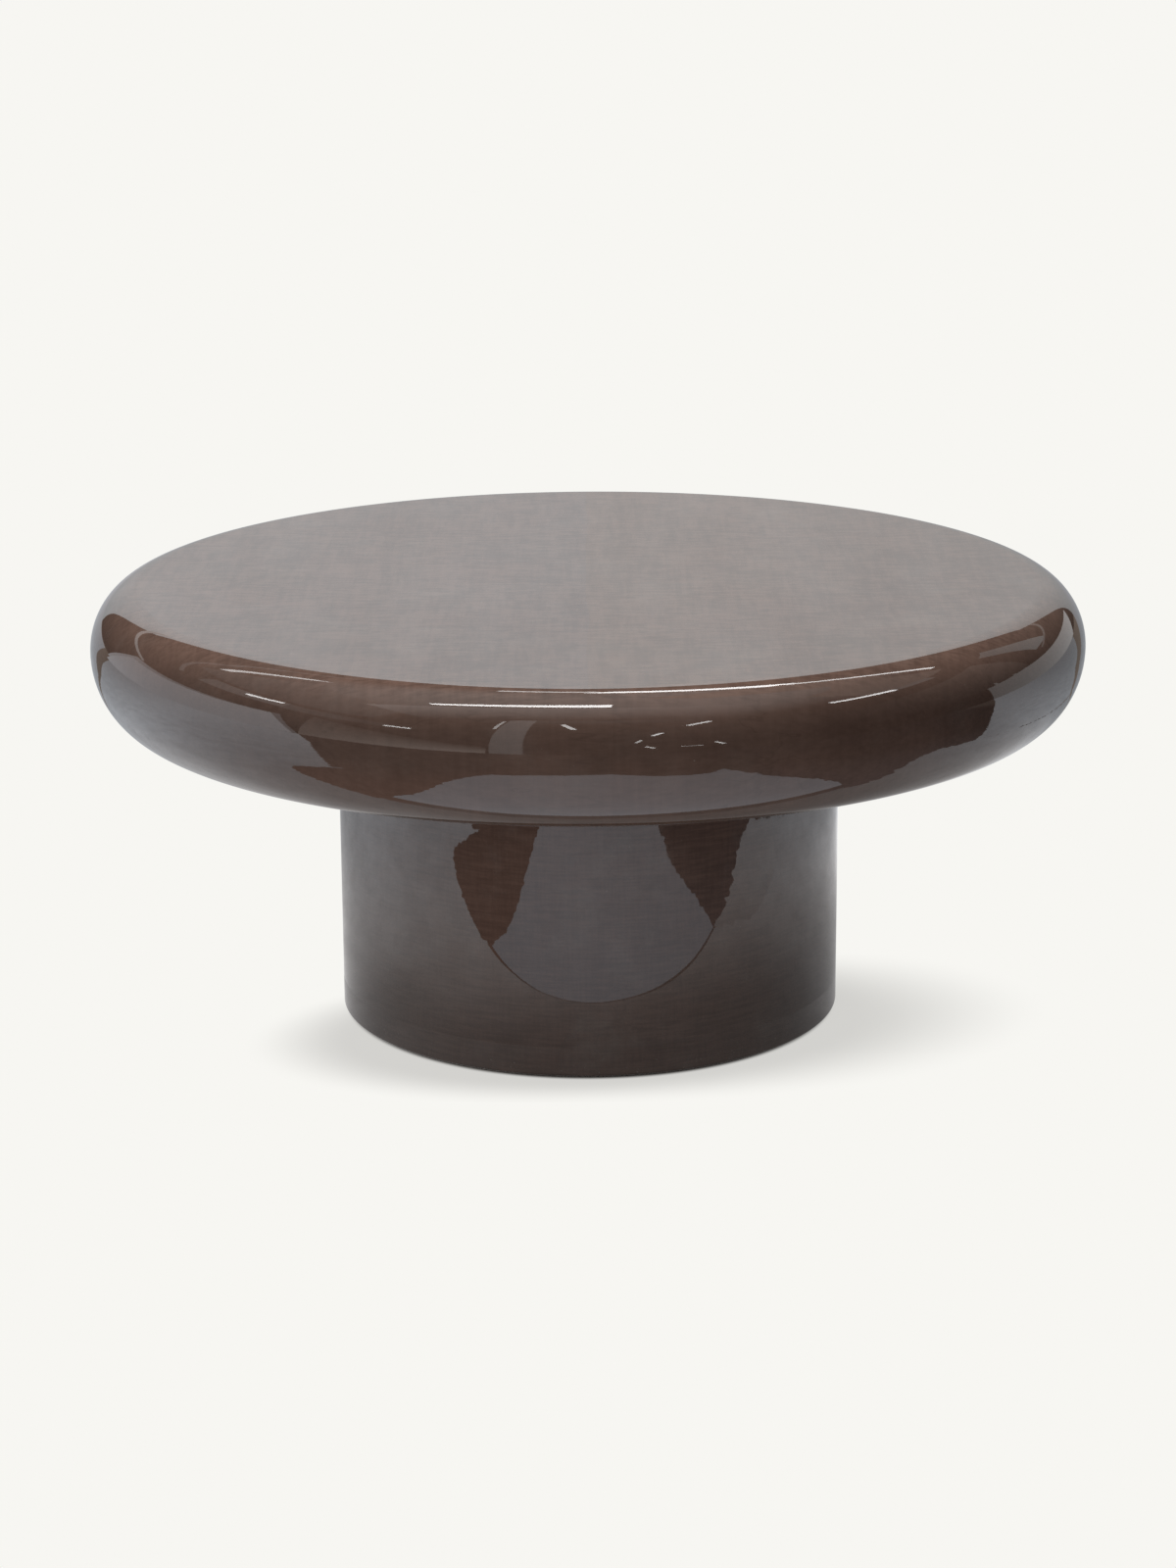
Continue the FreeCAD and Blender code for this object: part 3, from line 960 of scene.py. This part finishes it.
class TABLE_OT_feet(bpy.types.Operator):
    """Turn the threaded studs and the moulded pads of the levelling feet"""

    bl_idname = "table.feet"
    bl_label = "Levelling feet"

    def execute(self, context):
        look = context.scene.table_fittings
        sizes = context.scene.table_sizes
        steel = metal("stud_zinc", look.zinc, Vector(look.zinc) * DULL_ZINC, roughness=0.24)
        black = nylon("black_nylon", look)
        pairs = zip(nodes_like("leveller_stud_"), nodes_like("leveller_pad_"))
        for k, (stud, pad) in enumerate(pairs, start=1):
            low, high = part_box(stud)
            pad_low, pad_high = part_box(pad)
            rows = stud_rows(sizes, pad_high.z - low.z, high.z - low.z)
            mesh = fitting_mesh(f"threaded_stud_{k}", rows, [standing(low, high)])
            fit(mesh, steel, f"foot_stud_{k}", "zinc_steel", stud)
            rows = pad_rows(sizes, (pad_high.x - pad_low.x) / 2, pad_high.z - pad_low.z)
            mesh = fitting_mesh(f"moulded_pad_{k}", rows, [standing(pad_low, pad_high)], PAD_SEGMENTS)
            fit(mesh, black, f"foot_pad_{k}", "nylon", pad)
        return {"FINISHED"}


# Stage: what the floor shows and what the gloss mirrors

FLOOR_DROP = 0.0005
FLOOR_SIZE = 40.0
SHEET_HEIGHT = 0.03
SIDE_HEIGHT = 0.05
FRONT_HEIGHT = 0.015
CEILING = 2.6
FAR = 25.0
STREAK_NEARER = 1.0
MIRROR_HEIGHT = 0.35
STRIP_RADIUS = 0.62
CARD_STEPS = 10
SENSOR_WIDTH = 36.0
# Tints of sheets and cards
PAPER = (0.97, 1.0, 1.06)
NEAR_PAPER = (1.02, 1.0, 1.0)
FAR_PAPER = (0.95, 1.0, 1.07)
FRONT_PAPER = (1.12, 1.22, 1.36)
GREY_BLUE = (0.88, 1.0, 1.03)
BACK_RIGHT = (0.925, 1.0, 1.025)
BACK_LEFT = (0.90, 1.0, 1.05)
NEUTRAL = (1.0, 1.0, 1.0)
WARM = (1.0, 0.86, 0.78)
# Colours of the bare floor, of the room and of the lamps
BARE_LEFT = (0.42, 0.24, 0.19)
BARE_MIDDLE = (0.25, 0.225, 0.215)
BARE_RIGHT = (0.20, 0.17, 0.18)
BARE_BEHIND = (0.24, 0.20, 0.17)
BARE_FAR = (0.06, 0.05, 0.05)
BARE_FAR_LEFT = (0.20, 0.14, 0.12)
WALLS = (0.03, 0.025, 0.022)
CEILING_GLOW = (0.70, 0.78, 0.80)
SOFT_LIGHT = (0.075, 0.075, 0.078)
LAMP_TINT = (1.0, 0.98, 0.95)
SHADED_FLOOR = 0.8
BOUNCING_FLOOR = 0.22
# Painted light of the sheets: where it is measured from, the least of it in the painted shadow of the top,
# what painted light the left and the right add to that, and the share that is lost behind
SHEET_MIDDLE = 0.05
DIMMEST = 0.28
LEFT_GAIN = 0.17
RIGHT_GAIN = 0.2
BACK_LOSS = 0.70
# The shadow on the floor: an ellipse, and a dark line at the drum that fades between two radii
SHADOW_CENTRE = (0.033, -0.085)
SHADOW_LENGTH = 0.305
SHADOW_WIDTH = 0.174
SHADOW_HEADING = (math.cos(math.radians(10.5)), math.sin(math.radians(10.5)))
SHADOW_STRENGTH = 0.33
CONTACT_LINE = (0.224, 0.2325)
# Torn edges: length and depth of the steps, how fast they wander, and the longest run that is torn
TEAR_STEP = 0.012
TEAR_DEPTH = 0.016
TEAR_WANDER = 1.7
TEAR_LONGEST = 1.2
# Lamps by place, aim and size
OVERHEAD_LAMP = ((-0.3, 0.35, 2.7), (0.0, 0.0, 0.3), 1.6)
FILL_LAMP = ((-0.7, -2.6, 0.9), (0.0, 0.0, 0.25), 1.8)
BOUNCE_LAMP = ((0.0, -0.95, 0.02), (0.0, -0.95, 1.0), 1.0)
# Rays that don't see the sheets and cards
BLIND_RAYS = ("camera", "diffuse", "shadow", "transmission", "volume_scatter")


def toward(azimuth, elevation, distance=FAR):
    """A far place: degrees to the right of the way to the camera, and degrees above the floor."""
    turn = math.radians(azimuth)
    rise = math.radians(elevation)
    level = distance * math.cos(rise)
    return (level * math.sin(turn), -level * math.cos(turn), MIRROR_HEIGHT + distance * math.sin(rise))


def in_front(azimuth, elevation):
    """A far place a little nearer than the cards."""
    return toward(azimuth, elevation, FAR - STREAK_NEARER)


def beside(azimuth, height):
    """A place beside the rim."""
    turn = math.radians(azimuth)
    return (STRIP_RADIUS * math.sin(turn), -STRIP_RADIUS * math.cos(turn), height)


def overhead(x, y):
    """A place under the ceiling."""
    return (x, y, CEILING)


def far_floor(azimuth):
    """A far place on the floor."""
    return toward(azimuth, 0.0)[:2]


# Cards far off, each with its tint and its corners: low start, high start, low end and high end.
# A corner has azimuth, elevation and brightness.
FAR_CARDS = {
    "left_board": (PAPER, ((-140, -1, 0.7), (-129, 15, 0.75), (-66, -1, 0.8), (-74, 19, 0.8))),
    "right_board": (NEUTRAL, ((101, -1, 0.70), (101, 13.7, 0.7), (147, -1, 0.76), (154, 7.7, 0.75))),
    "back_right_low": (BACK_RIGHT, ((155, -1, 0.42), (155, 17, 0.66), (180, -1, 0.44), (180, 17, 0.80))),
    "back_right_high": (BACK_RIGHT, ((155, 17, 0.66), (155, 25, 0.76), (180, 17, 0.80), (180, 35, 1.6))),
    "back_left_low": (BACK_LEFT, ((180, -1, 0.44), (180, 17, 0.80), (205, -1, 0.55), (205, 17, 0.90))),
    "back_left_high": (BACK_LEFT, ((180, 17, 0.80), (180, 35, 1.6), (205, 17, 0.90), (205, 25, 0.98))),
    "left_band": (NEUTRAL, ((-109, 27.5, 0.35), (-109, 34, 0.45), (-78, 28, 0.7), (-78, 34, 0.75))),
    "left_band_end": (NEUTRAL, ((-78, 27, 0.4), (-78, 33.5, 0.35), (-40, 26, 0.1), (-40, 30, 0.08))),
    "upper_left": (GREY_BLUE, ((-125, 36, 0.15), (-125, 58, 0.4), (-55, 36, 0.2), (-55, 58, 0.33))),
    "warm_ceiling": (WARM, ((122, 52, 0.4), (122, 76, 0.75), (158, 52, 0.4), (158, 76, 0.75))),
    "right_patch": (GREY_BLUE, ((130, 17, 0.50), (130, 36, 0.50), (140, 17, 0.50), (140, 36, 0.50))),
    "upper_right": (WARM, ((84, 43, 0.70), (84, 60, 0.60), (124, 43, 0.4), (124, 60, 0.5))),
    "right_haze": (WARM, ((46, 8, 0.0), (46, 30, 0.0), (120, 12, 0.1), (120, 36, 0.3))),
    "left_light": (NEUTRAL, ((-145, 51.3, 6), (-143.5, 54.0, 6), (-127.5, 40.3, 5), (-125.5, 42.2, 5))),
    "pale_panel": (NEUTRAL, ((-21.1, -6, 0.75), (-22.5, 54, 1.1), (-13.9, -4, 0.75), (-15, 54, 1.1))),
    "warm_corner": (WARM, ((-66, -8, 1.0), (-66, 24, 0.3), (-22, -9, 2.8), (-22, 8, 0.1))),
}
# A low strip beside the rim, by azimuth, height and brightness. The flat of the top doesn't mirror it.
RIM_CARDS = {
    "left_strip": (PAPER, ((-97, 0.357, 0.9), (-88, 0.4475, 1.0), (-42.7, 0.360, 2.1), (-48, 0.442, 2.1))),
}
# The main strip under the ceiling and the glow in front of it, by x, y and brightness
CEILING_CARDS = {
    "glow_left": (NEUTRAL, ((-1.7, -2.0, 0.0), (-1.7, -0.80, 1.3), (-0.4, -2.0, 0.0), (-0.4, -0.80, 1.4))),
    "glow_right": (NEUTRAL, ((-0.4, -2.0, 0.0), (-0.4, -0.80, 1.4), (1.3, -2.0, 0.0), (1.3, -0.80, 0.8))),
    "main_strip": (NEUTRAL, ((-0.99, -0.66, 20), (-0.99, -0.57, 20), (0.13, -0.73, 20), (0.13, -0.50, 20))),
}
# Streaks by start, end, width and brightness: far ones in degrees, those under the ceiling in metres
FAR_STREAKS = {
    "left_rail": ((-160, 24.8), (-126, 16), 1.2, 0.8),
    "right_rail": ((132, 15), (155, 22.5), 0.8, 0.33),
    "left_arc_high": ((-165, 42), (-140, 42), 1.4, 0.4),
    "left_arc_low": ((-140, 42), (-117, 27), 1.4, 0.4),
    "panel_edge": ((-23, 36), (-23.5, 49.5), 0.9, 5.0),
    "dash_1": ((-48.6, 27.6), (-41.8, 27.3), 1.2, 11.0),
    "dash_2": ((-7, 47), (-3.5, 38.5), 1.5, 9.0),
    "dash_3": ((25, 39.5), (32.5, 44), 1.4, 11.0),
    "dash_4": ((14.5, 26), (17.3, 30), 1.1, 11.0),
    "dash_5": ((10.3, 16), (11.7, 20), 0.7, 8.0),
    "dash_6": ((12.2, 10), (14.2, 7.5), 0.9, 9.0),
    "dash_7": ((20, 8.5), (25, 8.2), 0.5, 6.0),
    "dash_8": ((27.8, 12), (29.5, 8.5), 0.9, 9.0),
    "dash_9": ((71, 46.5), (92, 42.8), 2.0, 13.0),
    "dash_10": ((93, 43), (109, 42), 2.5, 0.6),
    "dash_11": ((-92.3, 31.5), (-80, 33), 1.6, 13.0),
}
CEILING_STREAKS = {
    "rear_strip_start": ((-0.31, 1.44), (0.03, 1.40), 0.25, 5.0),
    "rear_strip_middle": ((0.03, 1.30), (0.78, 1.04), 0.30, 12.0),
    "rear_strip_end": ((0.78, 1.04), (1.95, 1.17), 0.12, 9.0),
}
# Edges of the sheets on the floor. Those in front of the drum are cut clean, the rest are torn.
FRONT_CUT = (
    (-0.316, -0.444), (-0.206, -0.427), (-0.114, -0.410), (-0.047, -0.404), (0.008, -0.402),
    (0.084, -0.402), (0.173, -0.400), (0.29, -0.399), (0.40, -0.400), (0.423, -0.400),
)
LEFT_CUT = (
    (0.383, -0.370), (0.345, -0.368), (0.257, -0.362), (0.15, -0.356), (0.075, -0.356),
    (0.006, -0.355), (-0.04, -0.358), (-0.10, -0.367), (-0.18, -0.386), (-0.285, -0.403),
)
LEFT_EDGE = (
    (-0.295, -0.404), (-0.339, -0.407), (-0.459, -0.420), (-0.56, -0.426), (-0.62, -0.436),
    (-0.652, -0.465), (-0.640, -0.53), (-0.637, -0.575), (-0.615, -0.635), (-0.645, -0.605),
    (-0.832, -0.70), (-1.47, -1.0), (-2.03, -1.28), far_floor(-66), far_floor(-103), far_floor(-136),
    (-1.83, 1.80), (-1.12, 1.0), (-0.70, 0.72), (0.775, 0.70), (0.825, 0.13), (0.83, -0.16),
    (0.79, -0.27), (0.70, -0.315), (0.50, -0.315), (0.405, -0.350),
)
SIDE_EDGE = (
    (0.42, -0.22), (0.335, -0.342), (0.40, -0.339), (0.48, -0.344), (0.58, -0.353), (0.66, -0.352),
    (0.75, -0.307), (0.765, -0.15), (0.60, -0.12),
)
RIGHT_EDGE = (
    (0.83, -0.16), (0.923, -0.126), (1.382, -0.049), (2.46, 0.17), (4.96, 0.72), far_floor(101),
    far_floor(124), far_floor(146), (1.60, 1.80), (1.18, 1.08), (0.86, 0.73), (0.79, 0.69),
    (0.829, 0.13), (0.831, -0.15),
)
BACK_EDGE = (
    (-0.66, 0.73), (-1.0, 1.0), (-1.47, 1.80), far_floor(-143), far_floor(180), far_floor(155),
    (1.40, 1.93), (1.06, 1.15), (0.80, 0.74),
)
FRONT_EDGE = (
    (0.438, -0.43), (0.452, -0.50), (0.456, -0.56), (0.448, -0.65), (0.438, -0.74), (0.462, -0.80),
    (0.445, -0.839), (0.462, -1.028), (0.373, -0.945), (0.305, -0.940), (0.213, -0.970),
    (0.135, -1.038), (0.078, -1.09), (-0.146, -1.049), (-0.312, -0.985), (-0.338, -0.86),
    (-0.337, -0.73), (-0.318, -0.64), (-0.308, -0.57), (-0.307, -0.50), (-0.314, -0.45),
)


def only_in_reflections(piece):
    """Let only mirror rays see a stage piece."""
    piece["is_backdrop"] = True
    for ray in BLIND_RAYS:
        setattr(piece, f"visible_{ray}", False)


def glow(name, tint):
    """A material that gives off a tint worked out by a function of the shader."""
    material, shader = new_material(name)
    shader.output(shader.emission(tint(shader)))
    material.cycles.emission_sampling = "NONE"
    return material


def painted(shader):
    """The brightness painted on a card's corners, a little uneven."""
    shine = shader.node("ShaderNodeAttribute", {"attribute_name": "shine"}, None, "Color")
    mottles = shader.noise(shader.place(), scale=1.6, detail=4.0, roughness=0.6)
    return shader.scaled(shine, 0.88 + mottles * 0.24)


def card(name, place, tint, corners, material):
    """A card between four corners, each two measures that place turns into a point and a brightness."""
    low_start, high_start, low_end, high_end = (Vector(corner) for corner in corners)
    points = []
    colours = []
    for k in range(CARD_STEPS + 1):
        low = low_start.lerp(low_end, k / CARD_STEPS)
        high = high_start.lerp(high_end, k / CARD_STEPS)
        for j in range(CARD_STEPS + 1):
            first, second, shine = low.lerp(high, j / CARD_STEPS)
            points.append(place(first, second))
            colours.extend(rgba(tint, shine))
    side = CARD_STEPS + 1
    starts = [k * side + j for k in range(CARD_STEPS) for j in range(CARD_STEPS)]
    mesh = new_mesh(name, points, [(s, s + 1, s + side + 1, s + side) for s in starts])
    mesh.color_attributes.new("shine", "FLOAT_COLOR", "POINT").data.foreach_set("color", colours)
    only_in_reflections(show(mesh, material))


def streak(name, place, start, end, width, shine, material):
    """A narrow bright card from start to end."""
    start, end = Vector(start), Vector(end)
    aside = (end - start).orthogonal().normalized() * (width / 2)
    ends = [start - aside, start + aside, end - aside, end + aside]
    card(name, place, NEUTRAL, [(*corner, shine) for corner in ends], material)


def torn(edge):
    """The corners of an edge with small uneven steps along its shorter runs, as torn paper has."""
    points = []
    for a, b in zip(edge, edge[1:]):
        a, b = Vector(a), Vector(b)
        length = (b - a).length
        side = (b - a).orthogonal().normalized()
        count = max(1, round(length / TEAR_STEP)) if length < TEAR_LONGEST else 1
        for k in range(count):
            point = a.lerp(b, k / count)
            depth = noise.noise(Vector((point.x, point.y, 0.0)) * TEAR_WANDER / TEAR_STEP) if k else 0.0
            points.append(tuple(point + side * (depth * TEAR_DEPTH)))
    return [*points, edge[-1]]


def flat_sheet(name, outline, height, material):
    """A flat sheet with a given outline."""
    mesh = new_mesh(name, [(x, y, height) for x, y in outline], [range(len(outline))])
    only_in_reflections(show(mesh, material))


def sheet_light(shader, brightest=1.0):
    """Painted light of the floor's sheets, which glow in place of lit paper: a painted shadow of the top by
    the drum, more painted light on the left, less behind, and a painted sheen that grows at a slant.
    """
    place = shader.place()
    x, y, _ = shader.parts(place)
    distance = from_axis(x - SHEET_MIDDLE, y)
    back = y / distance
    left = shader.step(x, -0.2, 0.02, 1.0, 0.0)
    right = shader.step(x, 0.15, 0.4) * shader.step(back, -0.9, -0.2)
    # The painted shadow of the top: darkest by the drum, lighter on the left and the right
    painted_shadow_level = DIMMEST + left * LEFT_GAIN + right * RIGHT_GAIN
    outside = painted_shadow_level + shader.step(distance, 0.24, 0.60) * (1 - painted_shadow_level) * brightest
    # More painted light on the left than on the right
    leftward = shader.step(x, -0.5, 0.45, 1.34, 0.98)
    # Less painted light behind the table
    turn_start = left * shader.step(distance, 0.45, 1.0, -0.3, 0.0)
    turned = shader.step(back, turn_start, 0.8, 0.0, BACK_LOSS)
    behind = 1 - turned * shader.step(distance + left * 0.3, 0.35, 0.9)
    # A painted sheen: the sheets glow brighter where a ray meets them at a slant
    slant = 0.5 + shader.node("ShaderNodeLayerWeight", None, {"Blend": 0.5}, "Facing")
    mottles = 0.72 + 0.56 * shader.noise(place, scale=11.0, detail=5.0, roughness=0.65)
    tint = shader.blend(shader.step(distance, 0.3, 1.0), rgba(NEAR_PAPER), rgba(FAR_PAPER))
    return shader.scaled(tint, outside * leftward * behind * slant * mottles)


def front_light(shader):
    """Painted light of the sheet in front, which glows in place of lit paper: more on the left, and painted
    shade along the near edge by the table.
    """
    place = shader.place()
    x, y, _ = shader.parts(place)
    mottles = 0.9 + 0.2 * shader.noise(place, scale=14.0, detail=4.0, roughness=0.6)
    # Painted light falls off to the right, and painted shade dims the near edge under the rim
    level = shader.step(x, -0.28, 0.40, 1.1, 0.9) * shader.step(y, -0.6, -0.33, 1.0, 0.88)
    return shader.scaled(FRONT_PAPER, level * mottles)


def bare_floor(shader):
    """Colour of the floor between the sheets: brown on the left, dark on the right and far off, and a
    painted shadow close to the drum.
    """
    x, y, _ = shader.parts(shader.place())
    distance = from_axis(x, y)
    near = shader.blend(shader.step(x, -0.34, -0.20, 1.0, 0.0), rgba(BARE_MIDDLE), rgba(BARE_LEFT))
    near = shader.blend(shader.step(x, 0.28, 0.40), near, rgba(BARE_RIGHT))
    far = shader.blend(shader.step(x, -0.6, 0.0, 1.0, 0.0), rgba(BARE_FAR), rgba(BARE_FAR_LEFT))
    bare = shader.blend(shader.step(distance, 0.6, 1.3), near, far)
    bare = shader.blend(shader.step(y, 0.2, 0.7), bare, rgba(BARE_BEHIND))
    # Close to the drum the bare floor takes the sheets' painted shadow at its darkest
    painted_shadow_share = shader.step(distance, 0.43, 0.52, 1.0, 0.0)
    return shader.blend(painted_shadow_share, bare, sheet_light(shader, 0.0))


def shadow_share(shader):
    """How much of the true shadow the camera sees on the floor: an ellipse that runs out to the right."""
    x, y, _ = shader.parts(shader.place())
    along, across = SHADOW_HEADING
    east = x - SHADOW_CENTRE[0]
    north = y - SHADOW_CENTRE[1]
    u = (east * along + north * across) / SHADOW_LENGTH
    v = (north * along - east * across) / SHADOW_WIDTH
    distance = from_axis(u, v)
    softness = shader.step(x, 0.0, 0.35, 0.17, 0.34)
    soft = shader.step(distance, 1 - softness, 1 + softness, SHADOW_STRENGTH, 0.0)
    contact = shader.step(from_axis(x, y), *CONTACT_LINE, 1.0, 0.0)
    return contact + soft * (1 - contact)


def floor_material(look):
    """A floor that is pale to the camera, bare between the sheets in mirrors and dim to other rays."""
    material, shader = new_material("floor")
    camera_ray, glossy_ray = shader.rays()
    pale = shader.emission(rgba(look.background))
    shaded = shader.mixed(shadow_share(shader), pale, shader.matt(SHADED_FLOOR))
    unseen = shader.mixed(glossy_ray, shader.matt(BOUNCING_FLOOR), shader.emission(bare_floor(shader)))
    upper = shader.mixed(camera_ray, unseen, shaded)
    below = shader.node("ShaderNodeNewGeometry", output="Backfacing")
    clear = shader.node("ShaderNodeBsdfTransparent")
    shader.output(shader.mixed(below * camera_ray, upper, clear))
    material.cycles.emission_sampling = "NONE"
    return material


def room(look):
    """World: background for the camera, a dim room in reflections, soft light for the rest."""
    world = bpy.data.worlds.new("room")
    bpy.context.scene.world = world
    shader = Shader(world)
    camera_ray, glossy_ray = shader.rays()
    rise = shader.parts(shader.node("ShaderNodeTexCoord", output="Generated"))[2]
    walls = shader.blend(shader.step(rise, 0.70, 0.97), rgba(WALLS), rgba(CEILING_GLOW))
    tint = shader.blend(glossy_ray, rgba(SOFT_LIGHT), walls)
    tint = shader.blend(camera_ray, tint, rgba(look.background))
    light = shader.node("ShaderNodeBackground", None, {"Color": tint, "Strength": 1.0})
    shader.node("ShaderNodeOutputWorld", None, {"Surface": light})


def lamp(name, place, aim, size, power):
    """A round area lamp that mirrors don't show."""
    data = bpy.data.lights.new(name, "AREA")
    data.shape = "DISK"
    data.size = size
    data.energy = power
    data.color = LAMP_TINT
    piece = new_object(name, data)
    piece.location = place
    piece.rotation_euler = (Vector(aim) - Vector(place)).to_track_quat("-Z", "Y").to_euler()
    piece.visible_glossy = False
    piece.visible_camera = False


def camera(look):
    """The camera at the photograph's viewing angle."""
    data = bpy.data.cameras.new("camera")
    data.lens = look.camera_lens
    data.sensor_width = SENSOR_WIDTH
    piece = new_object("camera", data)
    tilt = Matrix.Rotation(math.pi / 2 - look.camera_pitch, 4, "X")
    roll = Matrix.Rotation(look.camera_roll, 4, "Z")
    piece.matrix_world = Matrix.Translation(look.camera_place) @ tilt @ roll
    bpy.context.scene.camera = piece


class TABLE_OT_stage(bpy.types.Operator):
    """Set up the floor, the sheets and cards that the gloss mirrors, the lamps and the camera"""

    bl_idname = "table.stage"
    bl_label = "Stage"

    def execute(self, context):
        look = context.scene.table_stage
        context.scene.view_settings.view_transform = "Standard"
        signs = [(-1, -1), (1, -1), (1, 1), (-1, 1)]
        corners = [(x * FLOOR_SIZE, y * FLOOR_SIZE, -FLOOR_DROP) for x, y in signs]
        mesh = new_mesh("floor", corners, [range(len(corners))])
        show(mesh, floor_material(look))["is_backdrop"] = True
        # The sheets glow with painted light in place of lit paper, and carry the painted shadow of the top
        sheet = glow("sheet", sheet_light)
        near_sheet = glow("front_sheet", front_light)
        flat_sheet("left_sheet", [*torn(LEFT_EDGE), *LEFT_CUT], SHEET_HEIGHT, sheet)
        flat_sheet("right_sheet", torn(RIGHT_EDGE), SHEET_HEIGHT, sheet)
        flat_sheet("back_sheet", torn(BACK_EDGE), SHEET_HEIGHT, sheet)
        flat_sheet("side_sheet", torn(SIDE_EDGE), SIDE_HEIGHT, sheet)
        flat_sheet("front_sheet", [*FRONT_CUT, *torn(FRONT_EDGE)], FRONT_HEIGHT, near_sheet)
        paint = glow("painted_card", painted)
        for place, cards in ((toward, FAR_CARDS), (beside, RIM_CARDS), (overhead, CEILING_CARDS)):
            for name, (tint, corners) in cards.items():
                card(name, place, tint, corners, paint)
        for place, streaks in ((in_front, FAR_STREAKS), (overhead, CEILING_STREAKS)):
            for name, (start, end, width, shine) in streaks.items():
                streak(name, place, start, end, width, shine, paint)
        room(look)
        lamp("overhead_lamp", *OVERHEAD_LAMP, look.overhead_power)
        lamp("fill_lamp", *FILL_LAMP, look.fill_power)
        lamp("bounce_lamp", *BOUNCE_LAMP, look.bounce_power)
        camera(look)
        return {"FINISHED"}


class TABLE_PT_finish(bpy.types.Panel):
    """Lists the pieces and the stage"""

    bl_label = "Cocktail table"
    bl_idname = "TABLE_PT_finish"
    bl_space_type = "VIEW_3D"
    bl_region_type = "UI"
    bl_category = "Table"

    def draw(self, context):
        for operator in OPERATORS:
            self.layout.operator(operator.bl_idname)


SETTINGS = {
    "table_top": TopSizes,
    "table_drum": DrumSizes,
    "table_sizes": FittingSizes,
    "table_lacquer": LacquerLook,
    "table_boards": BoardLook,
    "table_fittings": FittingLook,
    "table_stage": StageLook,
}
OPERATORS = (
    TABLE_OT_lacquered_top,
    TABLE_OT_lacquered_drum,
    TABLE_OT_boards,
    TABLE_OT_bonding_strip,
    TABLE_OT_fasteners,
    TABLE_OT_feet,
    TABLE_OT_stage,
)


def register():
    """Register the settings, the operators and the panel."""
    for name, group in SETTINGS.items():
        bpy.utils.register_class(group)
        setattr(bpy.types.Scene, name, PointerProperty(type=group))
    for kind in (*OPERATORS, TABLE_PT_finish):
        bpy.utils.register_class(kind)


def unregister():
    """Take out what register put in."""
    for kind in (TABLE_PT_finish, *reversed(OPERATORS)):
        bpy.utils.unregister_class(kind)
    for name, group in SETTINGS.items():
        delattr(bpy.types.Scene, name)
        bpy.utils.unregister_class(group)


def main():
    """Make every piece and the stage."""
    register()
    bpy.ops.table.lacquered_top()
    bpy.ops.table.lacquered_drum()
    bpy.ops.table.boards()
    bpy.ops.table.bonding_strip()
    bpy.ops.table.fasteners()
    bpy.ops.table.feet()
    bpy.ops.table.stage()
    boxes = {"cad": CAD_BOX, "visual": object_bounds()}
    {name: [list(corner) for corner in box] for name, box in boxes.items()}


if __name__ == "__main__":
    main()
